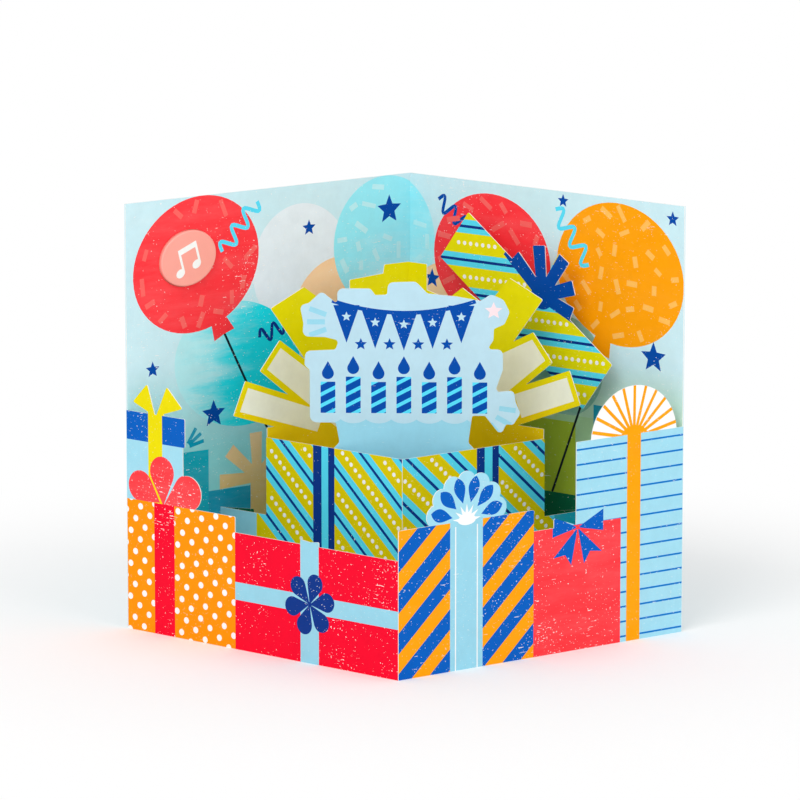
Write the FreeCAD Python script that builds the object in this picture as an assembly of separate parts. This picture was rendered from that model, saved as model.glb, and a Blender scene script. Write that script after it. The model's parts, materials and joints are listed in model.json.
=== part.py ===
import FreeCAD, Part
import math
import os

# Pop up card: a ring of printed board that stands on its lower edges, with a gift
# box, rays and a greeting plaque inside it, and a press button with its sound
# module between the two layers of the left back panel.
# Millimetres, +Z up. The origin is the middle of the footprint, on the table.
# The viewer stands at -Y: the back fold is at +Y and the front fold at -Y.

# Card
PANEL_WIDTH = 148.0
PANEL_HEIGHT = 182.0
OPENING_ANGLE = 104.4        # between the two back panels, degrees
WRAP_BOARD = 0.45            # thickness of the inner ring's board
COVER_BOARD = 0.40           # thickness of the outer cover's board
INSERT_BOARD = 0.40          # thickness of the pieces inside
CORNER = 0.6                 # radius of a die-cut corner
SEAM_TAB = 12.0              # glued tab inside the front fold
TAB_SLOPE = 3.0              # how far each tab's end is cut back

# Gifts along the front of the ring: widths along the panel and top heights
DOT_GIFT_WIDTH = 60.2
DOT_GIFT_TOP = 56.4
RED_BOW_KNOT = 20.5          # along the dotted gift
RED_BOW_SINK = 1.0           # how far its petals' tips lie under the gift's top
RED_SIDE_PETAL = (13.6, 7.4, 7.4)       # round end's centre from the knot, and its radius
RED_TOP_PETAL = (-0.8, 14.6, 6.4)
LONG_GIFT_TOP = 49.8
LONG_RIBBON_START = 35.7     # from the dotted gift's side
LONG_RIBBON_WIDTH = 9.9
RIBBON_TAB = 2.0             # how far the ribbon's end stands above its gift
RIBBON_NOTCH = 0.6           # depth of the notch in that end
BLUE_GIFT_WIDTH = 31.4
BLUE_LID_WIDTH = 32.6
BLUE_LID_BOTTOM = 82.0
BLUE_LID_TOP = 94.2
# Yellow bow's wings, from the middle of the blue gift at its lid's top
YELLOW_BOW_LEFT = [(0.6, -1.5), (-4.0, 12.6, CORNER), (-12.0, 4.2, CORNER), (-3.6, 0.8), (-3.6, -1.5)]
YELLOW_BOW_RIGHT = [(0.6, -1.5), (5.2, -1.5), (5.2, 0.8), (15.7, 4.2, CORNER), (7.0, 12.6, CORNER),
                    (1.2, 0.0)]
STRIPE_GIFT_WIDTH = 69.2
STRIPE_GIFT_TOP = 62.4
FAN_CENTRE = 34.6
FAN_RADIUS = 20.8
FAN_LOBES = 7
RED_GIFT_TOP = 53.4
TALL_GIFT_WIDTH = 56.6
TALL_GIFT_TOP = 88.4
ROSETTE_FROM_SIDE = 26.2     # its centre, from the side fold
ROSETTE_RADIUS = 22.8
ROSETTE_DROP = 2.2           # how far its centre lies under the gift's top
BLUE_BOW_START = 10.6        # from the striped gift's side
BLUE_BOW_WIDTH = 25.1
BLUE_BOW_RISE = 4.2
BLUE_BOW_DIP = 0.4           # how far its middle dips under the gift's top
BLUE_BOW_FOOT = 2.0

# Gift band in the middle
BAND_FROM_EDGE = 47.3        # from the side fold to the band's fold, on the back panel
BAND_LOWER_TOP = 46.7
BAND_UPPER_TOP = 80.3
BAND_UPPER_REACH = 74.5      # from its front fold to each upper side edge
BAND_BOTTOM = 2.0
BAND_TAB = 17.0

# Burst of rays behind it
BURST_BOTTOM = 48.0
BURST_STRIP_TOP = 84.4
BURST_TAB = 11.0
BURST_TAB_MARGIN = 2.0       # tab's distance below the band's upper edge

# Greeting plaque
PLAQUE_FROM_FOLD = 38.0      # along the band's arm, from the front fold to the plaque
PLAQUE_STEM = 54.0
PLAQUE_BOTTOM = 50.0
PLAQUE_SHOULDER = 80.8       # where its stem meets the cross strip
PLAQUE_SHOULDER_DROP = 1.0   # the strip's slope from there to its tabs
PLAQUE_NECK = 2.0            # rounding between them
PLAQUE_TAB = 11.0

# Tilted gift lid in front of the right back panel
LID_LENGTH = 96.6
LID_WIDTH = 26.0
LID_TILT = -36.4             # degrees
LID_ALONG = 71.2             # its centre, from the back fold
LID_FROM_TOP = 51.3          # its centre, below the panel's top
LID_STANDOFF = 9.0
LID_BOW_ALONG = 3.0          # the bow's centre, from the lid's middle
LID_BOW_SINK = 1.6           # and below the lid's upper edge
LID_BOW_REACHES = [21.6, 21.4, 20.6, 17.4, 17.0]
LID_BOW_TURN = 2.6           # degrees that the middle ray leans to the left
LID_BOW_SPREAD = 39.4        # degrees between rays
LID_BOW_ROOT = 5.0           # a ray's width at the bow's centre
LID_BOW_TIP = 6.6            # and at its end
STRUT_WIDTH = 19.0
STRUT_HEIGHT = 16.0

# Press button
BUTTON_ALONG = 30.9          # its centre, from the left edge fold
BUTTON_FROM_TOP = 25.9
BUTTON_LENGTH = 28.4
BUTTON_WIDTH = 23.4
BUTTON_TILT = 15.0           # degrees
BUTTON_RISE = 1.6
BUTTON_EDGE = 0.7
BUTTON_GAP = 0.25
BUTTON_FLANGE = 1.6
BUTTON_FLANGE_THICKNESS = 0.8
BUTTON_TRAVEL = 0.8
BUTTON_BOSS_RADIUS = 3.0
SEAT_GAP = 0.1

# Sound module behind the button
POCKET_DEPTH = 5.4
POCKET_SLOPE = 9.0
POCKET_MARGIN = 1.0
TRAY_THICKNESS = 0.6
TRAY_MARGIN = 3.0
TRAY_CORNER = 2.0
CIRCUIT_BESIDE = 10.0        # from the button's centre to the circuit's left edge
CIRCUIT_BELOW = 13.0         # and to its lower edge
CIRCUIT_LENGTH = 36.0
CIRCUIT_HEIGHT = 21.0
CIRCUIT_THICKNESS = 0.8
SWITCH_SIDE = 6.0
SWITCH_HEIGHT = 1.6
SWITCH_STEM_RADIUS = 1.7
SWITCH_STEM_GAP = 0.1
STEM_SEAT = 0.3              # how far the stem reaches into the switch at rest
STEM_RESERVE = 0.4           # what still stands above the switch when it is pressed
CHIP_RADIUS = 4.0
CHIP_HEIGHT = 1.1
CHIP_FROM_SIDE = 8.0         # its centre, from the circuit's right edge
CHIP_FROM_TOP = 7.0
RESISTOR = (2.0, 1.2, 0.55)             # length, width and height
RESISTOR_GAP = 2.2
CAPACITOR = (3.2, 1.6, 1.1)
CAPACITOR_GAP = 1.8
HOLDER_GAP = 3.5             # between the circuit and the battery holder
SPEAKER_GAP = 7.0            # between the circuit and the speaker
SPEAKER_RADIUS = 13.5
SPEAKER_WALL = 0.8
LUG_HEIGHT = 4.0
LUG_REACH = 2.5
MAGNET_RADIUS = 5.5
MAGNET_DEPTH = 1.4
FILM_THICKNESS = 0.3
FILM_INSET = 0.5             # behind the basket's lip
COIL_RADIUS = 4.7
COIL_WALL = 0.6
GASKET_THICKNESS = 0.8
GASKET_WIDTH = 2.0
CELL_RADIUS = 5.8
CELL_HEIGHT = 3.05
CELL_COUNT = 3
CELL_GAP = 0.3
CELL_EDGE = 0.4
HOLDER_WALL = 1.0
HOLDER_CORNER = 1.0
HOLDER_RISE = 2.3            # how high its walls stand beside the cells
CONTACT_THICKNESS = 0.2
CONTACT_WIDTH = 4.0
WIRE_RADIUS = 0.45
WIRE_SPACING = 1.35
WIRE_START = 3.0             # lowest wire, from the circuit's lower edge

V = FreeCAD.Vector
LEAN = (180.0 - OPENING_ANGLE) / 2      # each panel's heading away from the X axis
COS = math.cos(math.radians(LEAN))
SIN = math.sin(math.radians(LEAN))
BUTTON_UP = PANEL_HEIGHT - BUTTON_FROM_TOP
LID_UP = PANEL_HEIGHT - LID_FROM_TOP
OUT = "parts"


def plane_at(x, y, heading):
    """Placement whose local X runs along a panel, local Y is up and local Z faces the viewer."""
    c = math.cos(math.radians(heading))
    s = math.sin(math.radians(heading))
    matrix = FreeCAD.Matrix(c, 0, s, x, s, 0, -c, y, 0, 1, 0, 0, 0, 0, 0, 1)
    return FreeCAD.Placement(matrix)


def shifted(place, along=0.0, up=0.0, forward=0.0):
    """The same plane with its start moved along, up and towards the viewer."""
    return place.multiply(FreeCAD.Placement(V(along, up, forward), FreeCAD.Rotation()))


def rounded_wire(points):
    """Closed wire through (x, y) or (x, y, radius) corners, in the local XY plane."""
    count = len(points)
    ends = []
    for i, corner in enumerate(points):
        here = V(corner[0], corner[1], 0)
        radius = corner[2] if len(corner) > 2 else 0.0
        if not radius:
            ends.append((here, None, here))
            continue
        before = V(points[i - 1][0], points[i - 1][1], 0) - here
        after = V(points[(i + 1) % count][0], points[(i + 1) % count][1], 0) - here
        half = before.getAngle(after) / 2
        radius = min(radius, 0.49 * min(before.Length, after.Length) * math.tan(half))
        reach = radius / math.tan(half)
        before.normalize()
        after.normalize()
        inward = before + after
        inward.normalize()
        middle = here + inward * (radius / math.sin(half) - radius)
        ends.append((here + before * reach, middle, here + after * reach))
    edges = []
    for i, (start, middle, end) in enumerate(ends):
        if middle is not None:
            edges.append(Part.Arc(start, middle, end).toShape())
        following = ends[(i + 1) % count][0]
        if end.distanceToPoint(following) > 1e-6:
            edges.append(Part.LineSegment(end, following).toShape())
    return Part.Wire(edges)


def layer(wire, thickness, middle=0.0):
    """Plate of a wire's outline, centred on a height above the local plane."""
    face = Part.Face(wire)
    face.translate(V(0, 0, middle - thickness / 2))
    return face.extrude(V(0, 0, thickness))


def slab(x0, x1, y0, y1, z0, z1):
    return Part.makeBox(x1 - x0, y1 - y0, z1 - z0, V(x0, y0, z0))


def disc(x, y, radius, z0, z1):
    return Part.makeCylinder(radius, z1 - z0, V(x, y, z0))


def placed(shape, place):
    result = shape.copy()
    result.Placement = place.multiply(result.Placement)
    return result


def joined(shapes):
    return shapes[0].multiFuse(shapes[1:]).removeSplitter()


def fold(place, along, bottom, top, board):
    """Round outer edge of a vertical fold, on the sheet's middle surface."""
    start = place.multVec(V(along, bottom, 0))
    return Part.makeCylinder(board / 2, top - bottom, start)


def teardrop(tip, centre, radius, board):
    """Petal: a round end on a pointed tail."""
    tip_point = V(tip[0], tip[1], 0)
    centre_point = V(centre[0], centre[1], 0)
    towards = tip_point - centre_point
    turn = math.acos(radius / towards.Length)
    base = math.atan2(towards.y, towards.x)

    def rim(angle):
        return centre_point + V(math.cos(angle), math.sin(angle), 0) * radius

    arc = Part.Arc(rim(base + turn), rim(base + math.pi), rim(base - turn))
    wire = Part.Wire([
        Part.LineSegment(tip_point, rim(base + turn)).toShape(),
        arc.toShape(),
        Part.LineSegment(rim(base - turn), tip_point).toShape()])
    return layer(wire, board)


# Corners of the ring's middle surface, seen from above
HALF_SPAN = PANEL_WIDTH * COS
HALF_DEPTH = PANEL_WIDTH * SIN
BACK_LEFT = plane_at(-HALF_SPAN, 0, LEAN)
BACK_RIGHT = plane_at(0, HALF_DEPTH, -LEAN)
FRONT_LEFT = plane_at(-HALF_SPAN, 0, -LEAN)
FRONT_RIGHT = plane_at(0, -HALF_DEPTH, LEAN)


def front_left_gifts():
    """Dotted gift, long gift and the blue gift behind them, cut as one outline."""
    t = WRAP_BOARD
    ribbon = DOT_GIFT_WIDTH + LONG_RIBBON_START
    ribbon_top = LONG_GIFT_TOP + RIBBON_TAB
    bow_middle = BLUE_GIFT_WIDTH / 2
    knot = (RED_BOW_KNOT, DOT_GIFT_TOP - RED_BOW_SINK)
    shapes = [
        layer(rounded_wire([(0, 0), (PANEL_WIDTH, 0), (PANEL_WIDTH, LONG_GIFT_TOP),
                            (0, LONG_GIFT_TOP)]), t),
        layer(rounded_wire([(0, 0), (DOT_GIFT_WIDTH, 0), (DOT_GIFT_WIDTH, DOT_GIFT_TOP, CORNER),
                            (0, DOT_GIFT_TOP)]), t),
        layer(rounded_wire([(ribbon, 0), (ribbon + LONG_RIBBON_WIDTH, 0),
                            (ribbon + LONG_RIBBON_WIDTH, ribbon_top, CORNER),
                            (ribbon + LONG_RIBBON_WIDTH / 2, ribbon_top - RIBBON_NOTCH),
                            (ribbon, ribbon_top, CORNER)]), t),
        layer(rounded_wire([(0, 0), (BLUE_GIFT_WIDTH, 0), (BLUE_GIFT_WIDTH, BLUE_LID_TOP),
                            (0, BLUE_LID_TOP)]), t),
        layer(rounded_wire([(0, BLUE_LID_BOTTOM), (BLUE_LID_WIDTH, BLUE_LID_BOTTOM, CORNER),
                            (BLUE_LID_WIDTH, BLUE_LID_TOP, CORNER), (0, BLUE_LID_TOP)]), t),
    ]
    for wing in (YELLOW_BOW_LEFT, YELLOW_BOW_RIGHT):
        corners = [(c[0] + bow_middle, c[1] + BLUE_LID_TOP) + c[2:] for c in wing]
        shapes.append(layer(rounded_wire(corners), t))
    for across, up, radius in (RED_SIDE_PETAL, RED_TOP_PETAL):
        shapes.append(teardrop(knot, (knot[0] + across, knot[1] + up), radius, t))
    return shapes


def front_right_gifts():
    """Striped gift with its fan bow, red gift with its bow and the tall gift with its rosette."""
    t = WRAP_BOARD
    lobe = FAN_RADIUS * math.sin(math.pi / (2 * FAN_LOBES))
    lobe_ring = FAN_RADIUS - lobe
    bow_left = STRIPE_GIFT_WIDTH + BLUE_BOW_START
    bow_right = bow_left + BLUE_BOW_WIDTH
    tall_left = PANEL_WIDTH - TALL_GIFT_WIDTH
    shapes = [
        layer(rounded_wire([(0, 0), (PANEL_WIDTH, 0), (PANEL_WIDTH, RED_GIFT_TOP),
                            (0, RED_GIFT_TOP)]), t),
        layer(rounded_wire([(0, 0), (STRIPE_GIFT_WIDTH, 0),
                            (STRIPE_GIFT_WIDTH, STRIPE_GIFT_TOP, CORNER), (0, STRIPE_GIFT_TOP)]), t),
        layer(rounded_wire([(tall_left, 0), (PANEL_WIDTH, 0), (PANEL_WIDTH, TALL_GIFT_TOP),
                            (tall_left, TALL_GIFT_TOP, CORNER)]), t),
        disc(PANEL_WIDTH - ROSETTE_FROM_SIDE, TALL_GIFT_TOP - ROSETTE_DROP, ROSETTE_RADIUS, -t / 2, t / 2),
        disc(FAN_CENTRE, STRIPE_GIFT_TOP, lobe_ring, -t / 2, t / 2),
        layer(rounded_wire([(bow_left, RED_GIFT_TOP - BLUE_BOW_FOOT),
                            (bow_right, RED_GIFT_TOP - BLUE_BOW_FOOT),
                            (bow_right, RED_GIFT_TOP + BLUE_BOW_RISE, CORNER),
                            ((bow_left + bow_right) / 2, RED_GIFT_TOP - BLUE_BOW_DIP),
                            (bow_left, RED_GIFT_TOP + BLUE_BOW_RISE, CORNER)]), t),
    ]
    for i in range(FAN_LOBES):
        angle = math.pi * (i + 0.5) / FAN_LOBES
        shapes.append(disc(FAN_CENTRE + lobe_ring * math.cos(angle),
                           STRIPE_GIFT_TOP + lobe_ring * math.sin(angle), lobe, -t / 2, t / 2))
    return shapes


def ellipse_plate(length, width, z0, z1):
    """Elliptical plate at the button's place and tilt, in the left back panel's plane."""
    edge = Part.Ellipse(V(0, 0, 0), length / 2, width / 2).toShape()
    face = Part.Face(Part.Wire([edge]))
    face.rotate(V(0, 0, 0), V(0, 0, 1), BUTTON_TILT)
    face.translate(V(BUTTON_ALONG, BUTTON_UP, z0))
    return face.extrude(V(0, 0, z1 - z0))


def inner_ring():
    """One sheet folded at four corners, closed by a glued tab inside the front fold."""
    t = WRAP_BOARD
    full = rounded_wire([(0, 0), (PANEL_WIDTH, 0), (PANEL_WIDTH, PANEL_HEIGHT), (0, PANEL_HEIGHT)])
    hole = ellipse_plate(BUTTON_LENGTH + 2 * BUTTON_GAP, BUTTON_WIDTH + 2 * BUTTON_GAP, -t, t)
    tab = rounded_wire([(0, 0), (SEAM_TAB, TAB_SLOPE, CORNER),
                        (SEAM_TAB, LONG_GIFT_TOP - TAB_SLOPE, CORNER), (0, LONG_GIFT_TOP)])
    return joined([
        placed(layer(full, t).cut(hole), BACK_LEFT),
        placed(layer(full, t), BACK_RIGHT),
        placed(joined(front_left_gifts()), FRONT_LEFT),
        placed(joined(front_right_gifts()), FRONT_RIGHT),
        placed(layer(tab, t, -t), FRONT_RIGHT),
        fold(BACK_LEFT, 0, 0, BLUE_LID_TOP, t),
        fold(BACK_LEFT, PANEL_WIDTH, 0, PANEL_HEIGHT, t),
        fold(BACK_RIGHT, PANEL_WIDTH, 0, TALL_GIFT_TOP, t),
        fold(FRONT_LEFT, PANEL_WIDTH, 0, LONG_GIFT_TOP, t),
    ])


# Module layout in the left back panel's plane. Depths are measured back from the ring.
# The switch's stem stands above its body by the travel and a reserve.
RING_BACK = -WRAP_BOARD / 2
POCKET_FLOOR = RING_BACK - POCKET_DEPTH
TRAY_FACE = POCKET_FLOOR + TRAY_THICKNESS
CIRCUIT_FACE = TRAY_FACE + CIRCUIT_THICKNESS
SWITCH_FACE = CIRCUIT_FACE + SWITCH_HEIGHT
STEM_TOP = SWITCH_FACE + BUTTON_TRAVEL + STEM_RESERVE
CIRCUIT_LEFT = BUTTON_ALONG - CIRCUIT_BESIDE
CIRCUIT_BOTTOM = BUTTON_UP - CIRCUIT_BELOW
CIRCUIT_RIGHT = CIRCUIT_LEFT + CIRCUIT_LENGTH
CIRCUIT_TOP = CIRCUIT_BOTTOM + CIRCUIT_HEIGHT
SPEAKER_ALONG = CIRCUIT_RIGHT + SPEAKER_GAP + SPEAKER_RADIUS
SPEAKER_UP = CIRCUIT_TOP - SPEAKER_RADIUS
CELL_PITCH = 2 * (CELL_RADIUS + CELL_GAP)
HOLDER_LENGTH = CELL_COUNT * CELL_PITCH + 2 * HOLDER_WALL
HOLDER_HEIGHT = CELL_PITCH + 2 * HOLDER_WALL
HOLDER_LEFT = CIRCUIT_LEFT
HOLDER_TOP = CIRCUIT_BOTTOM - HOLDER_GAP
HOLDER_BOTTOM = HOLDER_TOP - HOLDER_HEIGHT
HOLDER_FACE = TRAY_FACE + HOLDER_WALL
TRAY_LEFT = CIRCUIT_LEFT - TRAY_MARGIN
TRAY_RIGHT = max(SPEAKER_ALONG + SPEAKER_RADIUS, HOLDER_LEFT + HOLDER_LENGTH) + TRAY_MARGIN
TRAY_BOTTOM = HOLDER_BOTTOM - TRAY_MARGIN
TRAY_TOP = CIRCUIT_TOP + TRAY_MARGIN
CHIP_ALONG = CIRCUIT_RIGHT - CHIP_FROM_SIDE
CHIP_UP = CIRCUIT_TOP - CHIP_FROM_TOP
SPEAKER_FRONT = RING_BACK - GASKET_THICKNESS
FILM_BACK = SPEAKER_FRONT - FILM_INSET
CELL_FACE = HOLDER_FACE + CONTACT_THICKNESS


def pocket_frustum(grow_base, depth, top_inset):
    """Sloping block over the module: wide at the ring, narrow at its depth."""
    edge = POCKET_MARGIN + POCKET_SLOPE + grow_base

    def outline(inset, z):
        corners = [V(TRAY_LEFT - edge + inset, TRAY_BOTTOM - edge + inset, z),
                   V(TRAY_RIGHT + edge - inset, TRAY_BOTTOM - edge + inset, z),
                   V(TRAY_RIGHT + edge - inset, TRAY_TOP + edge - inset, z),
                   V(TRAY_LEFT - edge + inset, TRAY_TOP + edge - inset, z)]
        return Part.makePolygon(corners + corners[:1])

    return Part.makeLoft([outline(0, RING_BACK), outline(top_inset, RING_BACK - depth)], True, True)


def cover():
    """Outer sheet behind the ring's two back panels, bowed out over the sound module."""
    middle = RING_BACK - COVER_BOARD / 2
    half_angle = math.radians(OPENING_ANGLE / 2)
    extra = -middle / math.tan(half_angle)
    sheet = layer(rounded_wire([(0, 0), (PANEL_WIDTH + extra, 0),
                                (PANEL_WIDTH + extra, PANEL_HEIGHT), (0, PANEL_HEIGHT)]),
                  COVER_BOARD, middle)
    slope_length = math.hypot(POCKET_DEPTH, POCKET_SLOPE)
    skin = COVER_BOARD * slope_length / POCKET_DEPTH
    outer_depth = POCKET_DEPTH + COVER_BOARD
    outer_inset = POCKET_SLOPE * outer_depth / POCKET_DEPTH
    bowed = sheet.fuse(pocket_frustum(skin, outer_depth, outer_inset))
    bowed = bowed.cut(pocket_frustum(0.0, POCKET_DEPTH, POCKET_SLOPE))
    right = sheet.copy()
    right.translate(V(-extra, 0, 0))
    edge = V(0, HALF_DEPTH - middle / math.sin(half_angle), 0)
    return joined([placed(bowed, BACK_LEFT), placed(right, BACK_RIGHT),
                   Part.makeCylinder(COVER_BOARD / 2, PANEL_HEIGHT, edge)])


# Middle surface of the gift band: its tabs lie on the ring's inner faces
BAND_SEAT = (WRAP_BOARD + INSERT_BOARD) / 2
BAND_LEFT = BACK_LEFT.multVec(V(BAND_FROM_EDGE, 0, BAND_SEAT))
BAND_ARM = -BAND_LEFT.x / COS
BAND_FRONT_Y = BAND_LEFT.y - BAND_ARM * SIN
BAND_ARM_LEFT = plane_at(BAND_LEFT.x, BAND_LEFT.y, -LEAN)
BAND_ARM_RIGHT = plane_at(0, BAND_FRONT_Y, LEAN)


def gift_band():
    """Striped front of the gift box, folded forward, with low arms glued to the back panels."""
    t = INSERT_BOARD
    step = BAND_ARM - BAND_UPPER_REACH
    outline = [(0, BAND_BOTTOM), (BAND_ARM, BAND_BOTTOM), (BAND_ARM, BAND_UPPER_TOP),
               (step, BAND_UPPER_TOP, CORNER), (step, BAND_LOWER_TOP, CORNER), (0, BAND_LOWER_TOP)]
    mirrored = [(BAND_ARM - c[0],) + c[1:] for c in outline]
    tab = rounded_wire([(0, BAND_BOTTOM), (BAND_TAB, BAND_BOTTOM + TAB_SLOPE, CORNER),
                        (BAND_TAB, BAND_LOWER_TOP - TAB_SLOPE, CORNER), (0, BAND_LOWER_TOP)])
    right_tab = layer(tab, t).mirror(V(0, 0, 0), V(1, 0, 0))
    left_seat = plane_at(BAND_LEFT.x, BAND_LEFT.y, LEAN)
    right_seat = plane_at(-BAND_LEFT.x, BAND_LEFT.y, -LEAN)
    return joined([
        placed(layer(rounded_wire(outline), t), BAND_ARM_LEFT),
        placed(layer(rounded_wire(mirrored), t), BAND_ARM_RIGHT),
        placed(layer(tab, t), left_seat),
        placed(right_tab, right_seat),
        fold(BAND_ARM_LEFT, 0, BAND_BOTTOM, BAND_LOWER_TOP, t),
        fold(BAND_ARM_RIGHT, 0, BAND_BOTTOM, BAND_UPPER_TOP, t),
        fold(BAND_ARM_RIGHT, BAND_ARM, BAND_BOTTOM, BAND_LOWER_TOP, t),
    ])


# Outline of each half of the burst, from its fold outwards: (distance from the fold, height)
LEFT_RAYS = [
    (12.8, 148.3, CORNER), (13.4, 144.5), (31.0, 143.5, CORNER), (31.0, 126.0), (54.9, 142.8, CORNER),
    (72.1, 135.4, CORNER), (54.3, 111.4), (67.5, 121.3, CORNER), (77.7, 109.1, CORNER), (63.2, 97.4),
    (85.3, 105.7, CORNER), (91.5, 91.3, CORNER), (70.5, BURST_STRIP_TOP)]
RIGHT_RAYS = [
    (10.4, 148.3, CORNER), (10.4, 137.1), (22.0, 134.5), (29.9, 140.2, CORNER), (43.0, 133.5),
    (55.5, 147.2, CORNER), (73.3, 139.8, CORNER), (57.8, 120.2), (68.3, 125.3, CORNER),
    (78.6, 113.4, CORNER), (64.7, 102.5), (87.8, 111.2, CORNER), (93.7, 97.0, CORNER),
    (60.5, BURST_STRIP_TOP)]


def ray_burst():
    """Rays and base strip folded backwards, glued inside the band at its upper side edges."""
    t = INSERT_BOARD
    corner = BAND_ARM_LEFT.multVec(V(BAND_ARM - BAND_UPPER_REACH, 0, -t))
    side = -corner.x / COS
    fold_top = LEFT_RAYS[0][1]

    def half(rays):
        return rounded_wire([(0, BURST_BOTTOM), (0, fold_top)] + rays
                            + [(side, BURST_STRIP_TOP), (side, BURST_BOTTOM)])

    left_half = layer(half(LEFT_RAYS), t).mirror(V(0, 0, 0), V(1, 0, 0))
    left_half.translate(V(side, 0, 0))
    tab_top = BAND_UPPER_TOP - BURST_TAB_MARGIN
    tab = layer(rounded_wire([(0, BURST_BOTTOM), (BURST_TAB, BURST_BOTTOM + TAB_SLOPE, CORNER),
                              (BURST_TAB, tab_top - TAB_SLOPE, CORNER), (0, tab_top)]), t)
    left_plane = plane_at(corner.x, corner.y, LEAN)
    right_plane = plane_at(0, corner.y + side * SIN, -LEAN)
    left_seat = plane_at(corner.x, corner.y, -LEAN)
    right_seat = plane_at(-corner.x, corner.y, LEAN)
    return joined([
        placed(left_half, left_plane),
        placed(layer(half(RIGHT_RAYS), t), right_plane),
        placed(tab, left_seat),
        placed(tab.mirror(V(0, 0, 0), V(1, 0, 0)), right_seat),
        fold(right_plane, 0, BURST_BOTTOM, fold_top, t),
        fold(left_plane, 0, BURST_BOTTOM, tab_top, t),
        fold(right_plane, side, BURST_BOTTOM, tab_top, t),
    ])


# Plaque's outline clockwise from the left end of its stem: (across from its middle, height, radius)
PLAQUE_OUTLINE = [
    (-28.5, 91.2, 1.0), (-39.4, 91.2, 3.0), (-39.4, 113.6, 2.0), (-41.6, 115.6, 2.0),
    (-41.2, 121.6, 2.5), (-28.6, 122.2, 1.5), (-27.2, 126.2, 1.5), (-33.0, 127.6, 1.0),
    (-42.4, 127.8, 2.5), (-42.0, 133.4, 1.5), (-43.4, 140.8, 2.0), (-39.6, 142.0, 1.5),
    (-34.4, 147.0, 2.0), (-27.8, 141.6, 0.8), (-27.8, 148.2, 2.5), (-14.0, 148.2, 2.0),
    (-12.0, 145.4, 1.0), (-7.0, 145.6, 1.0), (-6.6, 150.8, 2.5), (5.0, 151.2, 3.0),
    (9.8, 146.2, 2.0), (22.0, 145.0, 1.0), (32.0, 143.2, 1.0), (36.4, 146.0, 2.5),
    (41.6, 143.6, 2.5), (44.2, 138.4, 2.5), (42.0, 133.4, 2.0), (37.6, 131.4, 1.0),
    (37.4, 126.6, 2.0), (34.8, 122.6, 1.0), (41.4, 122.6, 2.5), (41.4, 114.0, 2.0),
    (38.6, 106.0, 1.0), (39.4, 104.6, 0.8), (46.0, 105.2, 2.0), (46.8, 100.2, 1.5),
    (48.8, 95.4, 2.0), (45.8, 90.6, 1.5), (42.8, 90.8, 1.0), (40.6, 86.0, 2.0),
    (34.0, 94.4, 1.0), (28.6, 94.4, 1.0)]


def greeting_plaque():
    """Cloud-shaped plaque on a stem that spans the gift box, with a glued tab at each side."""
    t = INSERT_BOARD
    left = BAND_ARM_LEFT.multVec(V(BAND_ARM - PLAQUE_FROM_FOLD, 0, -t))
    half = -left.x
    stem = PLAQUE_STEM / 2
    arm_top = PLAQUE_SHOULDER - PLAQUE_SHOULDER_DROP
    neck = PLAQUE_SHOULDER + PLAQUE_NECK
    below = [(stem, neck, PLAQUE_NECK), (half, arm_top), (half, PLAQUE_BOTTOM),
             (-half, PLAQUE_BOTTOM), (-half, arm_top), (-stem, neck, PLAQUE_NECK)]
    across = [(c[0] + half,) + c[1:] for c in below + PLAQUE_OUTLINE]
    tab_top = arm_top - PLAQUE_NECK
    tab = layer(rounded_wire([(0, PLAQUE_BOTTOM), (PLAQUE_TAB, PLAQUE_BOTTOM + TAB_SLOPE, CORNER),
                              (PLAQUE_TAB, tab_top - TAB_SLOPE, CORNER), (0, tab_top)]), t)
    face = plane_at(-half, left.y, 0)
    left_seat = plane_at(-half, left.y, -LEAN)
    right_seat = plane_at(half, left.y, LEAN)
    return joined([
        placed(layer(rounded_wire(across), t), face),
        placed(tab.mirror(V(0, 0, 0), V(1, 0, 0)), left_seat),
        placed(tab, right_seat),
        fold(face, 0, PLAQUE_BOTTOM, tab_top, t),
        fold(face, 2 * half, PLAQUE_BOTTOM, tab_top, t),
    ])


LID_FORWARD = WRAP_BOARD / 2 + LID_STANDOFF
LID_PLANE = shifted(BACK_RIGHT, LID_ALONG, LID_UP, LID_FORWARD + INSERT_BOARD / 2)


def gift_lid():
    """Tilted lid with half a starburst bow on its upper long edge, cut as one piece."""
    t = INSERT_BOARD
    half_length = LID_LENGTH / 2
    half_width = LID_WIDTH / 2
    plate = layer(rounded_wire([(-half_length, -half_width, CORNER), (half_length, -half_width, CORNER),
                                (half_length, half_width, CORNER), (-half_length, half_width, CORNER)]),
                  t)
    shapes = [plate]
    for i, reach in enumerate(LID_BOW_REACHES):
        ray = layer(rounded_wire([(-LID_BOW_ROOT / 2, 0), (LID_BOW_ROOT / 2, 0),
                                  (LID_BOW_TIP / 2, reach, CORNER),
                                  (-LID_BOW_TIP / 2, reach, CORNER)]), t)
        turn = ((len(LID_BOW_REACHES) - 1) / 2 - i) * LID_BOW_SPREAD + LID_BOW_TURN
        ray.rotate(V(0, 0, 0), V(0, 0, 1), turn)
        ray.translate(V(LID_BOW_ALONG, half_width - LID_BOW_SINK, 0))
        shapes.append(ray)
    lid = joined(shapes)
    lid.rotate(V(0, 0, 0), V(0, 0, 1), LID_TILT)
    return placed(lid, LID_PLANE)


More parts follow.
